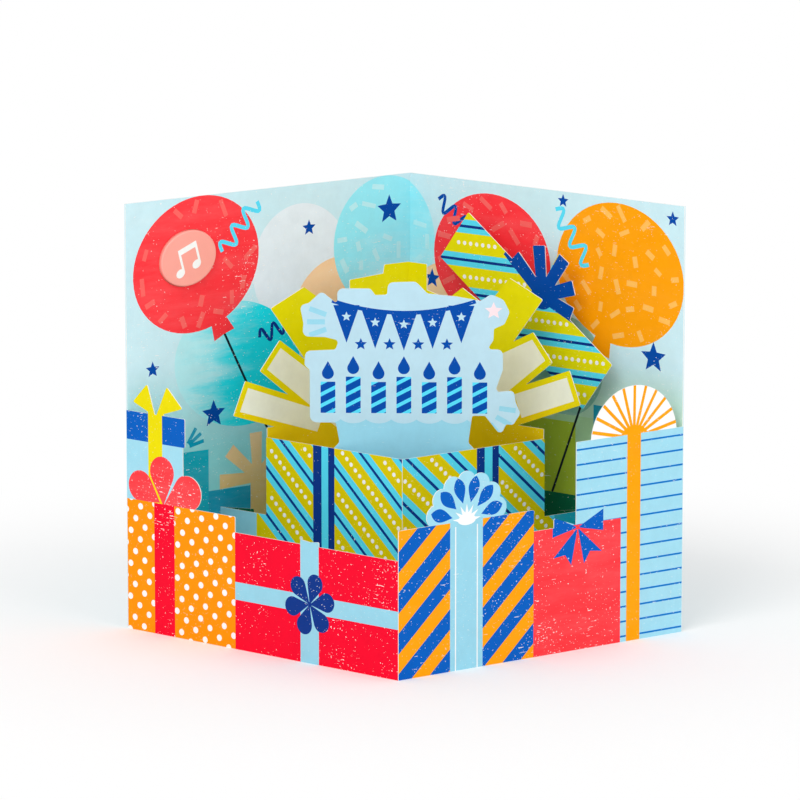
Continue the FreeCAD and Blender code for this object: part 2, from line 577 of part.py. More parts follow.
def lid_strut():
    """Square loop of folded board that holds the lid off the right back panel."""
    t = INSERT_BOARD
    half = STRUT_WIDTH / 2
    face = WRAP_BOARD / 2

    def block(inset, radius):
        section = rounded_wire([(-half + inset, face + inset, radius), (half - inset, face + inset, radius),
                                (half - inset, LID_FORWARD - inset, radius),
                                (-half + inset, LID_FORWARD - inset, radius)])
        section.rotate(V(0, 0, 0), V(1, 0, 0), 90)
        section.translate(V(0, STRUT_HEIGHT / 2, 0))
        return Part.Face(section).extrude(V(0, -STRUT_HEIGHT, 0))

    strut = block(0, t * 1.5).cut(block(t, t * 0.5))
    return placed(strut, shifted(BACK_RIGHT, LID_ALONG, LID_UP))


def push_button():
    """Oval cap through the ring's hole, with a flange behind the board and a boss on the switch."""
    cap_top = WRAP_BOARD / 2 + BUTTON_RISE
    flange_front = RING_BACK - SEAT_GAP
    flange_back = flange_front - BUTTON_FLANGE_THICKNESS
    cap = ellipse_plate(BUTTON_LENGTH, BUTTON_WIDTH, flange_front, cap_top)
    rim = [e for e in cap.Edges if abs(e.BoundBox.ZMin - cap_top) < 1e-6]
    cap = cap.makeFillet(min(BUTTON_EDGE, BUTTON_RISE * 0.9), rim)
    flange = ellipse_plate(BUTTON_LENGTH + 2 * BUTTON_FLANGE, BUTTON_WIDTH + 2 * BUTTON_FLANGE,
                           flange_back, flange_front)
    boss = disc(BUTTON_ALONG, BUTTON_UP, BUTTON_BOSS_RADIUS, STEM_TOP, flange_back)
    return placed(joined([cap, flange, boss]), BACK_LEFT)


def switch_stem():
    stem = disc(BUTTON_ALONG, BUTTON_UP, SWITCH_STEM_RADIUS, SWITCH_FACE - STEM_SEAT, STEM_TOP)
    return placed(stem, BACK_LEFT)


def switch_body():
    """Square tact switch soldered to the circuit, with a well for its stem."""
    half = SWITCH_SIDE / 2
    body = slab(BUTTON_ALONG - half, BUTTON_ALONG + half, BUTTON_UP - half, BUTTON_UP + half,
                CIRCUIT_FACE, SWITCH_FACE)
    well_floor = SWITCH_FACE - STEM_SEAT - BUTTON_TRAVEL - SEAT_GAP
    well = disc(BUTTON_ALONG, BUTTON_UP, SWITCH_STEM_RADIUS + SWITCH_STEM_GAP, well_floor, SWITCH_FACE)
    return placed(body.cut(well), BACK_LEFT)


def module_tray():
    """Thin plastic plate glued inside the cover, under every part of the module."""
    corners = [(TRAY_LEFT, TRAY_BOTTOM), (TRAY_RIGHT, TRAY_BOTTOM), (TRAY_RIGHT, TRAY_TOP),
               (TRAY_LEFT, TRAY_TOP)]
    plate = layer(rounded_wire([c + (TRAY_CORNER,) for c in corners]),
                  TRAY_THICKNESS, POCKET_FLOOR + TRAY_THICKNESS / 2)
    return placed(plate, BACK_LEFT)


def circuit_board():
    board = slab(CIRCUIT_LEFT, CIRCUIT_RIGHT, CIRCUIT_BOTTOM, CIRCUIT_TOP, TRAY_FACE, CIRCUIT_FACE)
    return placed(board, BACK_LEFT)


def sound_chip():
    """Domed drop of black resin over the bonded chip."""
    ball = (CHIP_RADIUS ** 2 + CHIP_HEIGHT ** 2) / (2 * CHIP_HEIGHT)
    sphere = Part.makeSphere(ball, V(CHIP_ALONG, CHIP_UP, CIRCUIT_FACE + CHIP_HEIGHT - ball))
    keep = disc(CHIP_ALONG, CHIP_UP, ball, CIRCUIT_FACE, CIRCUIT_FACE + 2 * CHIP_HEIGHT)
    return placed(sphere.common(keep), BACK_LEFT)


def resistor():
    length, width, height = RESISTOR
    right = CHIP_ALONG - CHIP_RADIUS - RESISTOR_GAP
    return placed(slab(right - length, right, CHIP_UP - width / 2, CHIP_UP + width / 2,
                       CIRCUIT_FACE, CIRCUIT_FACE + height), BACK_LEFT)


def capacitor():
    length, width, height = CAPACITOR
    top = CHIP_UP - CHIP_RADIUS - CAPACITOR_GAP
    return placed(slab(CHIP_ALONG - length / 2, CHIP_ALONG + length / 2, top - width, top,
                       CIRCUIT_FACE, CIRCUIT_FACE + height), BACK_LEFT)


def speaker_basket():
    """Shallow pressed cup with an open front and a lug for the wires."""
    cup = disc(SPEAKER_ALONG, SPEAKER_UP, SPEAKER_RADIUS, TRAY_FACE, SPEAKER_FRONT)
    inside = disc(SPEAKER_ALONG, SPEAKER_UP, SPEAKER_RADIUS - SPEAKER_WALL,
                  TRAY_FACE + SPEAKER_WALL, SPEAKER_FRONT)
    left = SPEAKER_ALONG - SPEAKER_RADIUS
    lug = slab(left - LUG_REACH, left + SPEAKER_WALL, SPEAKER_UP - LUG_HEIGHT / 2,
               SPEAKER_UP + LUG_HEIGHT / 2, TRAY_FACE, TRAY_FACE + 2 * WIRE_RADIUS)
    return placed(joined([cup, lug]).cut(inside), BACK_LEFT)


def speaker_magnet():
    floor = TRAY_FACE + SPEAKER_WALL
    return placed(disc(SPEAKER_ALONG, SPEAKER_UP, MAGNET_RADIUS, floor, floor + MAGNET_DEPTH), BACK_LEFT)


def speaker_diaphragm():
    """Thin film across the basket, with its coil reaching back to the magnet."""
    film = disc(SPEAKER_ALONG, SPEAKER_UP, SPEAKER_RADIUS - SPEAKER_WALL, FILM_BACK,
                FILM_BACK + FILM_THICKNESS)
    coil_foot = TRAY_FACE + SPEAKER_WALL + MAGNET_DEPTH
    coil = disc(SPEAKER_ALONG, SPEAKER_UP, COIL_RADIUS, coil_foot, FILM_BACK)
    hollow = disc(SPEAKER_ALONG, SPEAKER_UP, COIL_RADIUS - COIL_WALL, coil_foot, FILM_BACK)
    return placed(joined([film, coil.cut(hollow)]), BACK_LEFT)


def speaker_gasket():
    """Foam ring between the speaker's lip and the printed board."""
    ring = disc(SPEAKER_ALONG, SPEAKER_UP, SPEAKER_RADIUS, SPEAKER_FRONT, RING_BACK)
    hole = disc(SPEAKER_ALONG, SPEAKER_UP, SPEAKER_RADIUS - GASKET_WIDTH, SPEAKER_FRONT, RING_BACK)
    return placed(ring.cut(hole), BACK_LEFT)


def cell_centre(index):
    return (HOLDER_LEFT + HOLDER_WALL + CELL_PITCH * (index + 0.5), HOLDER_BOTTOM + HOLDER_HEIGHT / 2)


def battery_holder():
    """Moulded tray with a round well for each cell."""
    top = CELL_FACE + HOLDER_RISE
    right = HOLDER_LEFT + HOLDER_LENGTH
    corners = [(HOLDER_LEFT, HOLDER_BOTTOM), (right, HOLDER_BOTTOM), (right, HOLDER_TOP),
               (HOLDER_LEFT, HOLDER_TOP)]
    body = layer(rounded_wire([c + (HOLDER_CORNER,) for c in corners]),
                 top - TRAY_FACE, (top + TRAY_FACE) / 2)
    for index in range(CELL_COUNT):
        x, y = cell_centre(index)
        body = body.cut(disc(x, y, CELL_RADIUS + CELL_GAP, HOLDER_FACE, top))
    first, last = cell_centre(0)[0], cell_centre(CELL_COUNT - 1)[0]
    middle = cell_centre(0)[1]
    half_channel = CONTACT_WIDTH / 2 + CELL_GAP
    channel = slab(first, last, middle - half_channel, middle + half_channel, HOLDER_FACE, top)
    return placed(body.cut(channel), BACK_LEFT)


def button_cell(index):
    x, y = cell_centre(index)
    cell = disc(x, y, CELL_RADIUS, CELL_FACE, CELL_FACE + CELL_HEIGHT)
    rim = [e for e in cell.Edges if e.Closed and abs(e.BoundBox.ZMin - CELL_FACE - CELL_HEIGHT) < 1e-6]
    return placed(cell.makeFillet(CELL_EDGE, rim), BACK_LEFT)


def contact(first, last, level):
    """Flat metal strip between two cells, or over one, at a depth."""
    x0, y = cell_centre(first)
    x1 = cell_centre(last)[0]
    half = CONTACT_WIDTH / 2
    strip = slab(x0 - half, x1 + half, y - half, y + half, level, level + CONTACT_THICKNESS)
    return placed(strip, BACK_LEFT)


def wire_between(points, level):
    """Round wire of straight runs joined by tangent arcs, lying on the tray."""
    edges = []
    start = V(points[0][0], points[0][1], level)
    for i in range(1, len(points) - 1):
        here = V(points[i][0], points[i][1], level)
        before = V(points[i - 1][0], points[i - 1][1], level) - here
        after = V(points[i + 1][0], points[i + 1][1], level) - here
        half = before.getAngle(after) / 2
        radius = 0.45 * min(before.Length, after.Length) * math.tan(half)
        reach = radius / math.tan(half)
        before.normalize()
        after.normalize()
        inward = before + after
        inward.normalize()
        arc_start = here + before * reach
        middle = here + inward * (radius / math.sin(half) - radius)
        arc_end = here + after * reach
        edges.append(Part.LineSegment(start, arc_start).toShape())
        edges.append(Part.Arc(arc_start, middle, arc_end).toShape())
        start = arc_end
    edges.append(Part.LineSegment(start, V(points[-1][0], points[-1][1], level)).toShape())
    path = Part.Wire(edges)
    first = V(points[1][0] - points[0][0], points[1][1] - points[0][1], 0)
    ring = Part.Wire([Part.Circle(V(points[0][0], points[0][1], level), first, WIRE_RADIUS).toShape()])
    tube = path.makePipeShell([ring], True, True)
    return placed(tube, BACK_LEFT)


def speaker_wire(index):
    """From the circuit's side in a double bend up to the speaker's lug."""
    aside = WIRE_SPACING * (index - 0.5)
    end = SPEAKER_ALONG - SPEAKER_RADIUS - LUG_REACH
    turn = (CIRCUIT_RIGHT + end) / 2 + aside
    low = CIRCUIT_BOTTOM + WIRE_START - aside
    high = SPEAKER_UP - aside
    return wire_between([(CIRCUIT_RIGHT, low), (turn, low), (turn, high), (end, high)],
                        TRAY_FACE + WIRE_RADIUS)


def battery_wire(index):
    """From a terminal's well up to the circuit's lower edge."""
    x = cell_centre(CELL_COUNT - 1 if index else 0)[0]
    level = TRAY_FACE + WIRE_RADIUS
    tube = Part.makeCylinder(WIRE_RADIUS, CIRCUIT_BOTTOM - HOLDER_TOP, V(x, HOLDER_TOP, level), V(0, 1, 0))
    return placed(tube, BACK_LEFT)


def save(name, shape):
    if not shape.isValid():
        raise ValueError(name + " is not a valid shape")
    shape.exportStep(os.path.join(OUT, name + ".step"))
    print(name, len(shape.Solids), "solid", round(shape.Volume, 1), "mm3")


def main():
    os.makedirs("parts", exist_ok=True)
    save("inner_ring", inner_ring())
    save("cover", cover())
    save("gift_band", gift_band())
    save("ray_burst", ray_burst())
    save("greeting_plaque", greeting_plaque())
    save("gift_lid", gift_lid())
    save("lid_strut", lid_strut())
    save("push_button", push_button())
    save("switch_stem", switch_stem())
    save("switch_body", switch_body())
    save("module_tray", module_tray())
    save("circuit_board", circuit_board())
    save("sound_chip", sound_chip())
    save("resistor", resistor())
    save("capacitor", capacitor())
    save("speaker_basket", speaker_basket())
    save("speaker_magnet", speaker_magnet())
    save("speaker_diaphragm", speaker_diaphragm())
    save("speaker_gasket", speaker_gasket())
    save("battery_holder", battery_holder())
    for index in range(CELL_COUNT):
        save("button_cell_" + str(index + 1), button_cell(index))
    upper = CELL_FACE + CELL_HEIGHT
    save("contact_plus", contact(0, 0, upper))
    save("contact_lower_link", contact(0, 1, HOLDER_FACE))
    save("contact_upper_link", contact(1, CELL_COUNT - 1, upper))
    save("contact_minus", contact(CELL_COUNT - 1, CELL_COUNT - 1, HOLDER_FACE))
    for index in range(2):
        save("speaker_wire_" + str(index + 1), speaker_wire(index))
        save("battery_wire_" + str(index + 1), battery_wire(index))


main()
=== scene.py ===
import json
import math
from collections import namedtuple

import bmesh
import bpy
import numpy
from mathutils import Matrix, Vector
from mathutils.geometry import delaunay_2d_cdt

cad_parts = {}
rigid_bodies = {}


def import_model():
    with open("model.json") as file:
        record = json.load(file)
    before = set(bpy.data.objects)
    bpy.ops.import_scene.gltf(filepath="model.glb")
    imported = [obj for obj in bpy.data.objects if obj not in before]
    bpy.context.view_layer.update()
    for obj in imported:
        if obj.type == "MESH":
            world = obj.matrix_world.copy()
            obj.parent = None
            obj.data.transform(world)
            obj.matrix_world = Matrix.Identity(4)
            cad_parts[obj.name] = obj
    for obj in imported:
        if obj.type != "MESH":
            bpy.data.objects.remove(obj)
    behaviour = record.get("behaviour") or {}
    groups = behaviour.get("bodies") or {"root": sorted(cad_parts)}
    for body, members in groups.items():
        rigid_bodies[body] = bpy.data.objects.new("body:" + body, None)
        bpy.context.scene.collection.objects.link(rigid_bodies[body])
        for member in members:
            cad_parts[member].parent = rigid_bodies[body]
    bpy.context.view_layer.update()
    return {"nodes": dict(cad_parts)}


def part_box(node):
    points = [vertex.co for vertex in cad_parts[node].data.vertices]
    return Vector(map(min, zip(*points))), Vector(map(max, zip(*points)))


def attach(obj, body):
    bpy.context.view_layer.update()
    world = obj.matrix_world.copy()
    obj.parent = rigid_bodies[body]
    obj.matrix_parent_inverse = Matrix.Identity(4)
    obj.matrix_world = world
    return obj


bl_info = {
    "name": "Pop up card",
    "version": (1, 0, 0),
    "blender": (4, 5, 0),
    "location": "3D View > Sidebar > Card",
    "description": "Boards, printed films, press button and stage of a folded pop up card",
    "category": "Object",
}

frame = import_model()

# Board places, in millimetres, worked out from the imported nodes. Each printed face lies
# half a board's thickness in front of its sheet's middle surface.
MM = 0.001
WRAP_BOARD = 0.45
INSERT_BOARD = 0.40
MERGE = 0.001                # points of an outline nearer than this are one
FACE_TOLERANCE = 0.02        # how far from its plane a vertex of a printed face may lie
FACING = 0.99                # least cosine between a printed face's triangle and its board


def box_mm(node):
    low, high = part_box(node)
    return low / MM, high / MM


class Board:
    """A flat board: s runs along it to the right, z up, and depth towards the viewer."""

    def __init__(self, x, y, heading, face):
        self.start = Vector((x, y, 0.0))
        self.along = Vector((math.cos(heading), math.sin(heading), 0.0))
        self.out = Vector((math.sin(heading), -math.cos(heading), 0.0))
        self.face = face

    def place(self, s, z, depth):
        return (self.start + self.along * s + self.out * depth + Vector((0, 0, z))) * MM

    def matrix(self, depth):
        """Turns a flat mesh in millimetres, x along and y up, into its place in metres."""
        up = Vector((0, 0, 1))
        turn = Matrix((self.along, up, self.out)).transposed().to_4x4()
        origin = (self.start + self.out * depth) * MM
        return Matrix.Translation(origin) @ turn @ Matrix.Scale(MM, 4)

    def local(self, point):
        offset = point / MM - self.start
        return offset.dot(self.along), point.z / MM, offset.dot(self.out)

    def printed_triangles(self, node):
        """The node's triangles in this board's printed face, as (s, z) corners."""
        mesh = frame["nodes"][node].data
        mesh.calc_loop_triangles()
        found = []
        for triangle in mesh.loop_triangles:
            if triangle.normal.dot(self.out) < FACING:
                continue
            corners = [self.local(mesh.vertices[i].co) for i in triangle.vertices]
            if all(abs(c[2] - self.face) < FACE_TOLERANCE for c in corners):
                found.append([(c[0], c[1]) for c in corners])
        return found


RING_HIGH = box_mm("inner_ring")[1]
HALF_SPAN = RING_HIGH.x - WRAP_BOARD / 2
HALF_DEPTH = RING_HIGH.y - WRAP_BOARD / 2
LEAN = math.atan2(HALF_DEPTH, HALF_SPAN)
PANEL_WIDTH = math.hypot(HALF_SPAN, HALF_DEPTH)
BACK_LEFT = Board(-HALF_SPAN, 0, LEAN, WRAP_BOARD / 2)
BACK_RIGHT = Board(0, HALF_DEPTH, -LEAN, WRAP_BOARD / 2)
FRONT_LEFT = Board(-HALF_SPAN, 0, -LEAN, WRAP_BOARD / 2)
FRONT_RIGHT = Board(0, -HALF_DEPTH, LEAN, WRAP_BOARD / 2)

BAND_LOW, BAND_HIGH = box_mm("gift_band")
BAND_SIDE = BAND_HIGH.x - INSERT_BOARD / 2
BAND_FRONT = BAND_LOW.y + INSERT_BOARD / 2
BAND_ARM = BAND_SIDE / math.cos(LEAN)
BAND_LEFT = Board(-BAND_SIDE, BAND_FRONT + BAND_ARM * math.sin(LEAN), -LEAN, INSERT_BOARD / 2)
BAND_RIGHT = Board(0, BAND_FRONT, LEAN, INSERT_BOARD / 2)

TAB_LEFT = Board(-HALF_SPAN, 0, LEAN, WRAP_BOARD / 2 + INSERT_BOARD)
TAB_RIGHT = Board(0, HALF_DEPTH, -LEAN, WRAP_BOARD / 2 + INSERT_BOARD)

BURST_FOLD = box_mm("ray_burst")[1].y - INSERT_BOARD / 2
BURST_LEFT = Board(0, BURST_FOLD, LEAN, INSERT_BOARD / 2)
BURST_RIGHT = Board(0, BURST_FOLD, -LEAN, INSERT_BOARD / 2)
PLAQUE = Board(0, box_mm("greeting_plaque")[0].y + INSERT_BOARD / 2, 0, INSERT_BOARD / 2)


def front_depth(node, board):
    """How far the node's foremost vertex lies in front of a board's middle surface."""
    return max(board.local(v.co)[2] for v in frame["nodes"][node].data.vertices)


LID = Board(0, HALF_DEPTH, -LEAN, front_depth("gift_lid", BACK_RIGHT))
BUTTON = Board(-HALF_SPAN, 0, LEAN, front_depth("push_button", BACK_LEFT))


def button_centre():
    """The cap's centre on its board, as (s, z)."""
    spots = [BUTTON.local(v.co) for v in frame["nodes"]["push_button"].data.vertices]
    front = [p for p in spots if p[2] > BUTTON.face - FACE_TOLERANCE]
    along = [p[0] for p in front]
    up = [p[1] for p in front]
    return (min(along) + max(along)) / 2, (min(up) + max(up)) / 2


# Settings that a user would change


def linear(code):
    """Linear colour of a six-figure hexadecimal code."""
    values = [int(code[i:i + 2], 16) / 255 for i in (0, 2, 4)]
    return tuple(v / 12.92 if v <= 0.04045 else ((v + 0.055) / 1.055) ** 2.4 for v in values)


def colour(label, code, use="ink of the print"):
    return bpy.props.FloatVectorProperty(
        name=label, description=label + ", " + use, subtype="COLOR", size=3,
        min=0.0, max=1.0, default=linear(code))


def length(label, description, default):
    return bpy.props.FloatProperty(
        name=label, description=description, unit="LENGTH", subtype="DISTANCE",
        min=0.0, default=default * MM)


class CardInks(bpy.types.PropertyGroup):
    """Colours of the printed inks, some of them painted shade laid into the print."""

    ground: colour("Panel blue", "CAEBF3")
    red: colour("Red", "F4042E")
    coral: colour("Coral red", "FF3840")
    red_dash: colour("Dash on red", "FB6763")
    orange: colour("Orange", "FC9400")
    amber: colour("Amber", "FFA200")
    amber_dash: colour("Dash on amber", "FFBE5C")
    royal: colour("Royal blue", "005EBE")
    azure: colour("Azure", "0076CA")
    navy: colour("Navy", "004AA6")
    ink_blue: colour("Dark blue", "0C3688")
    ribbon: colour("Ribbon blue", "97D3E6")
    pale: colour("Gift blue", "9FD9EB")
    ice: colour("Ice blue", "B9DAE8")
    sky: colour("Sky blue", "98EEFA")
    sky_dash: colour("Dash on sky blue", "BDF2F8")
    aqua: colour("Aqua", "58DCF8")
    turquoise: colour("Turquoise", "1CE1EE")
    teal: colour("Teal", "04B0C8")
    blue_gift: colour("Gift teal", "029CBE")
    forest: colour("Dark green", "0C7050")
    # painted shade with a painted green cast bounced from the lime boards, on the back-right panel
    olive: colour("Olive", "B8CE40")
    mist: colour("Mist green", "86BFB0")
    lilac: colour("Lilac white", "E4EFF5")
    peach: colour("Peach", "FFD4A2")
    # painted shade on the back-right panel's ground
    sage: colour("Sage", "B4DCAE")
    # painted shade on the back-left panel's ground near the band
    lagoon: colour("Lagoon", "8FDCE0")
    # painted shade on the peach bow, darker towards the bottom
    sand: colour("Sand", "D8BC6C")
    lime: colour("Lime", "E9E000")
    # the band's lime print, made more golden than the lid's lime as painted shade inside the ring
    gold_lime: colour("Golden lime", "E2CC00")
    # painted shade at the roots of the lime rays
    gold: colour("Gold", "F2CE00")
    yellow: colour("Yellow", "EADC00")
    cream: colour("Cream", "F2F4E2")
    white: colour("White", "F7F7F5")
    blush: colour("Blush", "F8DDE2")
    string: colour("String", "17262F")


# How much an ink is brushed thin, from 0 to 1
WASHES = {"teal": 0.15, "turquoise": 0.85, "sky": 0.5, "mist": 0.5, "ground": 0.2, "blue_gift": 0.2,
          "peach": 0.25, "amber": 0.02, "coral": 0.1, "lilac": 0.2, "lime": 0.02, "pale": 0.1}
# How much an ink is worn off, where 1 is as much as the setting says
WEARS = {"orange": 0.3, "amber": 0.45, "ribbon": 0.35, "pale": 0.4, "yellow": 0.4, "white": 0.0,
         "lime": 0.5, "gold_lime": 0.6, "cream": 0.3, "ice": 0.2, "aqua": 0.7}


class CardSizes(bpy.types.PropertyGroup):
    """Sizes of the printed pattern and of its film."""

    film: length("Film", "Thickness of the printed film", 0.04)
    dot: length("Dot radius", "Radius of the small white dots", 0.92)
    dash: length("Dash length", "Length of a confetti dash", 6.8)
    dash_width: length("Dash width", "Width of a confetti dash", 2.4)
    wear: bpy.props.FloatProperty(
        name="Wear", description="How much of the ink is worn off in specks", subtype="FACTOR",
        min=0.0, max=1.0, default=0.5)
    confetti_seed: bpy.props.IntProperty(
        name="Confetti seed", description="Seed of the confetti's places", min=0, default=7)


class CardStage(bpy.types.PropertyGroup):
    """Lamps, floor and camera."""

    key_power: bpy.props.FloatProperty(
        name="Key lamp", description="Power of the large front lamp", unit="POWER",
        min=0.0, default=23.0)
    fill_power: bpy.props.FloatProperty(
        name="Fill lamp", description="Power of the side lamp", unit="POWER", min=0.0, default=11.0)
    sky_strength: bpy.props.FloatProperty(
        name="Sky", description="Strength of the world's even light", min=0.0, default=0.74)
    floor: colour("Floor", "FAFAFA", "colour of the ground")


def inks():
    return bpy.context.scene.card_inks


def sizes():
    return bpy.context.scene.card_sizes


# Outlines, in a board's millimetres


def rect(left, bottom, right, top):
    return [(left, bottom), (right, bottom), (right, top), (left, top)]


def ellipse(x, z, half_width, half_height, turn=0.0, count=56):
    """Ellipse turned anticlockwise by a number of degrees."""
    c = math.cos(math.radians(turn))
    s = math.sin(math.radians(turn))
    points = []
    for i in range(count):
        angle = 2 * math.pi * i / count
        across = half_width * math.cos(angle)
        up = half_height * math.sin(angle)
        points.append((x + across * c - up * s, z + across * s + up * c))
    return points


def star(x, z, radius, points=5, inner=0.45, turn=90.0):
    corners = []
    for i in range(2 * points):
        angle = math.radians(turn) + math.pi * i / points
        reach = radius if i % 2 == 0 else radius * inner
        corners.append((x + reach * math.cos(angle), z + reach * math.sin(angle)))
    return corners


def polar(x, z, radius, degrees):
    angle = math.radians(degrees)
    return x + radius * math.cos(angle), z + radius * math.sin(angle)


def petal(tip, centre, radius, count=22):
    """Round end on a pointed tail."""
    dx, dz = tip[0] - centre[0], tip[1] - centre[1]
    turn = math.acos(min(1.0, radius / math.hypot(dx, dz)))
    base = math.atan2(dz, dx)
    span = 2 * (math.pi - turn)
    rim = [polar(centre[0], centre[1], radius, math.degrees(base + turn + span * i / count))
           for i in range(count + 1)]
    return [tip] + rim


def leaf(x, z, degrees, near, far, width, count=12):
    """Pointed oval along a direction from a centre."""
    side_a, side_b = [], []
    for i in range(count + 1):
        share = i / count
        reach = near + (far - near) * share
        half = width / 2 * math.sin(math.pi * share ** 1.35) ** 0.8
        px, pz = polar(x, z, reach, degrees)
        nx, nz = polar(0, 0, half, degrees + 90)
        side_a.append((px + nx, pz + nz))
        side_b.append((px - nx, pz - nz))
    return side_b + side_a[-2:0:-1]


def strip(points, width):
    """Outline of a line of even width through the points."""
    left, right = [], []
    for i, (x, z) in enumerate(points):
        before = points[max(i - 1, 0)]
        after = points[min(i + 1, len(points) - 1)]
        dx, dz = after[0] - before[0], after[1] - before[1]
        size = math.hypot(dx, dz)
        nx, nz = -dz / size * width / 2, dx / size * width / 2
        left.append((x + nx, z + nz))
        right.append((x - nx, z - nz))
    return right + left[::-1]


def wave(start, end, height, turns, count=40):
    """Points of a wavy line from start to end."""
    dx, dz = end[0] - start[0], end[1] - start[1]
    size = math.hypot(dx, dz)
    points = []
    for i in range(count + 1):
        share = i / count
        aside = height * math.sin(2 * math.pi * turns * share)
        points.append((start[0] + dx * share - dz / size * aside,
                       start[1] + dz * share + dx / size * aside))
    return points


def bow_loops(x, z, directions, near, far):
    """Outlines of flat loops that widen outwards, given as reach and half width at both ends."""
    loops = []
    for degrees in directions:
        start, end = polar(x, z, near[0], degrees), polar(x, z, far[0], degrees)
        aside_start, aside_end = polar(0, 0, near[1], degrees + 90), polar(0, 0, far[1], degrees + 90)
        loops.append([(start[0] - aside_start[0], start[1] - aside_start[1]),
                      (end[0] - aside_end[0], end[1] - aside_end[1]),
                      (end[0] + aside_end[0], end[1] + aside_end[1]),
                      (start[0] + aside_start[0], start[1] + aside_start[1])])
    return loops


def loop_edges(outline):
    return list(zip(outline, outline[1:] + outline[:1]))


def rim_edges(triangles):
    """The edges of a set of triangles that only one of them has."""
    spots = {}
    for corners in triangles:
        for first, second in loop_edges(corners):
            ends = [(round(p[0] / MERGE), round(p[1] / MERGE)) for p in (first, second)]
            if (ends[1], ends[0]) in spots:
                del spots[(ends[1], ends[0])]
            else:
                spots[tuple(ends)] = (first, second)
    return list(spots.values())


def enclosed(points, edges):
    """Which points lie inside the closed loops that the edges make."""
    x, z = points[:, :1], points[:, 1:]
    x0, z0, x1, z1 = numpy.array([first + second for first, second in edges]).T
    with numpy.errstate(divide="ignore", invalid="ignore"):
        meets = x0 + (z - z0) * (x1 - x0) / (z1 - z0)
    return (((z0 > z) != (z1 > z)) & (x < meets)).sum(axis=1) % 2 == 1


Shape = namedtuple("Shape", "ink outline inside brush fade", defaults=(None, None, None, None))
EVEN = 0.5                   # how thinly a shape without a brush is printed


class Artwork:
    """Shapes on one board, in painting order."""

    def __init__(self, ground):
        self.ground = Shape(ground)
        self.shapes = []

    def paint(self, ink, outline, inside=None, brush=None, fade=None):
        """Adds a shape and returns its number. It is cut to an earlier shape where inside gives
        one, brush gives a middle and two slopes of how thinly its ink is brushed, and fade gives
        another ink and the heights from which and to which the first ink turns into it."""
        self.shapes.append(Shape(ink, [tuple(p) for p in outline], inside, brush, fade))
        return len(self.shapes) - 1

    def shape(self, number):
        """The shape of a number, or the ground for -1."""
        return self.ground if number < 0 else self.shapes[number]

    def thinness(self, number, point):
        """How thinly a shape's ink is brushed at a point, where 0 is solid and 1 is thin."""
        brush = self.shape(number).brush
        if brush is None:
            return EVEN
        x, z, slope_x, slope_z = brush
        return EVEN + (point[0] - x) * slope_x + (point[1] - z) * slope_z

    def shade(self, number, point, palette):
        """The colour of a shape's ink at a point, with how thinly that ink is brushed last."""
        shape = self.shape(number)
        colour_here = tuple(getattr(palette, shape.ink))
        if shape.fade is not None:
            second, start, end = shape.fade
            share = min(1.0, max(0.0, (point[1] - start) / (end - start)))
            colour_here = tuple(a + (b - a) * share
                                for a, b in zip(colour_here, getattr(palette, second)))
        return colour_here + (WASHES.get(shape.ink, 0.0),)

    def triangles(self, base):
        """Points, and triangles with their shapes' numbers, cut to the base's triangles."""
        loops = [rim_edges(base)] + [loop_edges(shape.outline) for shape in self.shapes]
        points = [Vector(end) for edges in loops for pair in edges for end in pair]
        pairs = [(i, i + 1) for i in range(0, len(points), 2)]
        flat, _, triangles = delaunay_2d_cdt(points, pairs, [], 0, MERGE)[:3]
        corners = numpy.array([flat[i][:] for i in range(len(flat))])
        middles = corners[numpy.array([list(t) for t in triangles])].mean(axis=1)
        covers = [enclosed(middles, edges) for edges in loops]
        chosen = numpy.full(len(triangles), -1)
        for number, shape in enumerate(self.shapes):
            within = covers[number + 1]
            if shape.inside is not None:
                within = within & covers[shape.inside + 1]
            chosen[within] = number
        inked = [(triangle, number) for triangle, number, printed_on
                 in zip(triangles, chosen, covers[0])
                 if printed_on and self.shape(number).ink is not None]
        return flat, inked


# Nodes


class Wire:
    """A socket that takes part in Python expressions on numbers."""

    def __init__(self, nodes, socket):
        self.nodes = nodes
        self.socket = socket

    def _math(self, operation, first, second):
        node = self.nodes.add("ShaderNodeMath", {"operation": operation}, {0: first, 1: second})
        return Wire(self.nodes, node.outputs[0])

    def __add__(self, other):
        return self._math("ADD", self, other)

    __radd__ = __add__

    def __sub__(self, other):
        return self._math("SUBTRACT", self, other)

    def __rsub__(self, other):
        return self._math("SUBTRACT", other, self)

    def __mul__(self, other):
        return self._math("MULTIPLY", self, other)

    __rmul__ = __mul__

    def between(self, low, high):
        """0 below low, 1 above high and a smooth step between them."""
        node = self.nodes.add("ShaderNodeMapRange", {"interpolation_type": "SMOOTHSTEP"},
                               {"Value": self, "From Min": low, "From Max": high})
        return Wire(self.nodes, node.outputs["Result"])


class Nodes:
    """A node tree and the one way its nodes are made."""

    def __init__(self, tree):
        self.tree = tree

    def add(self, kind, settings=None, values=None):
        """A node of a type, its settings first and then its sockets' values or links."""
        node = self.tree.nodes.new(kind)
        for key, value in (settings or {}).items():
            setattr(node, key, value)
        for key, value in (values or {}).items():
            self.feed(node.inputs[key], value)
        return node

    def feed(self, socket, value):
        """Gives a socket a link or a value. A colour of three numbers is made opaque."""
        if isinstance(value, Wire):
            value = value.socket
        if isinstance(value, bpy.types.NodeSocket):
            self.tree.links.new(value, socket)
        elif isinstance(value, tuple) and socket.type == "RGBA":
            socket.default_value = value[:3] + (1.0,)
        else:
            socket.default_value = value


# Meshes


def new_object(name, mesh):
    thing = bpy.data.objects.new(name, mesh)
    bpy.context.scene.collection.objects.link(thing)
    return thing


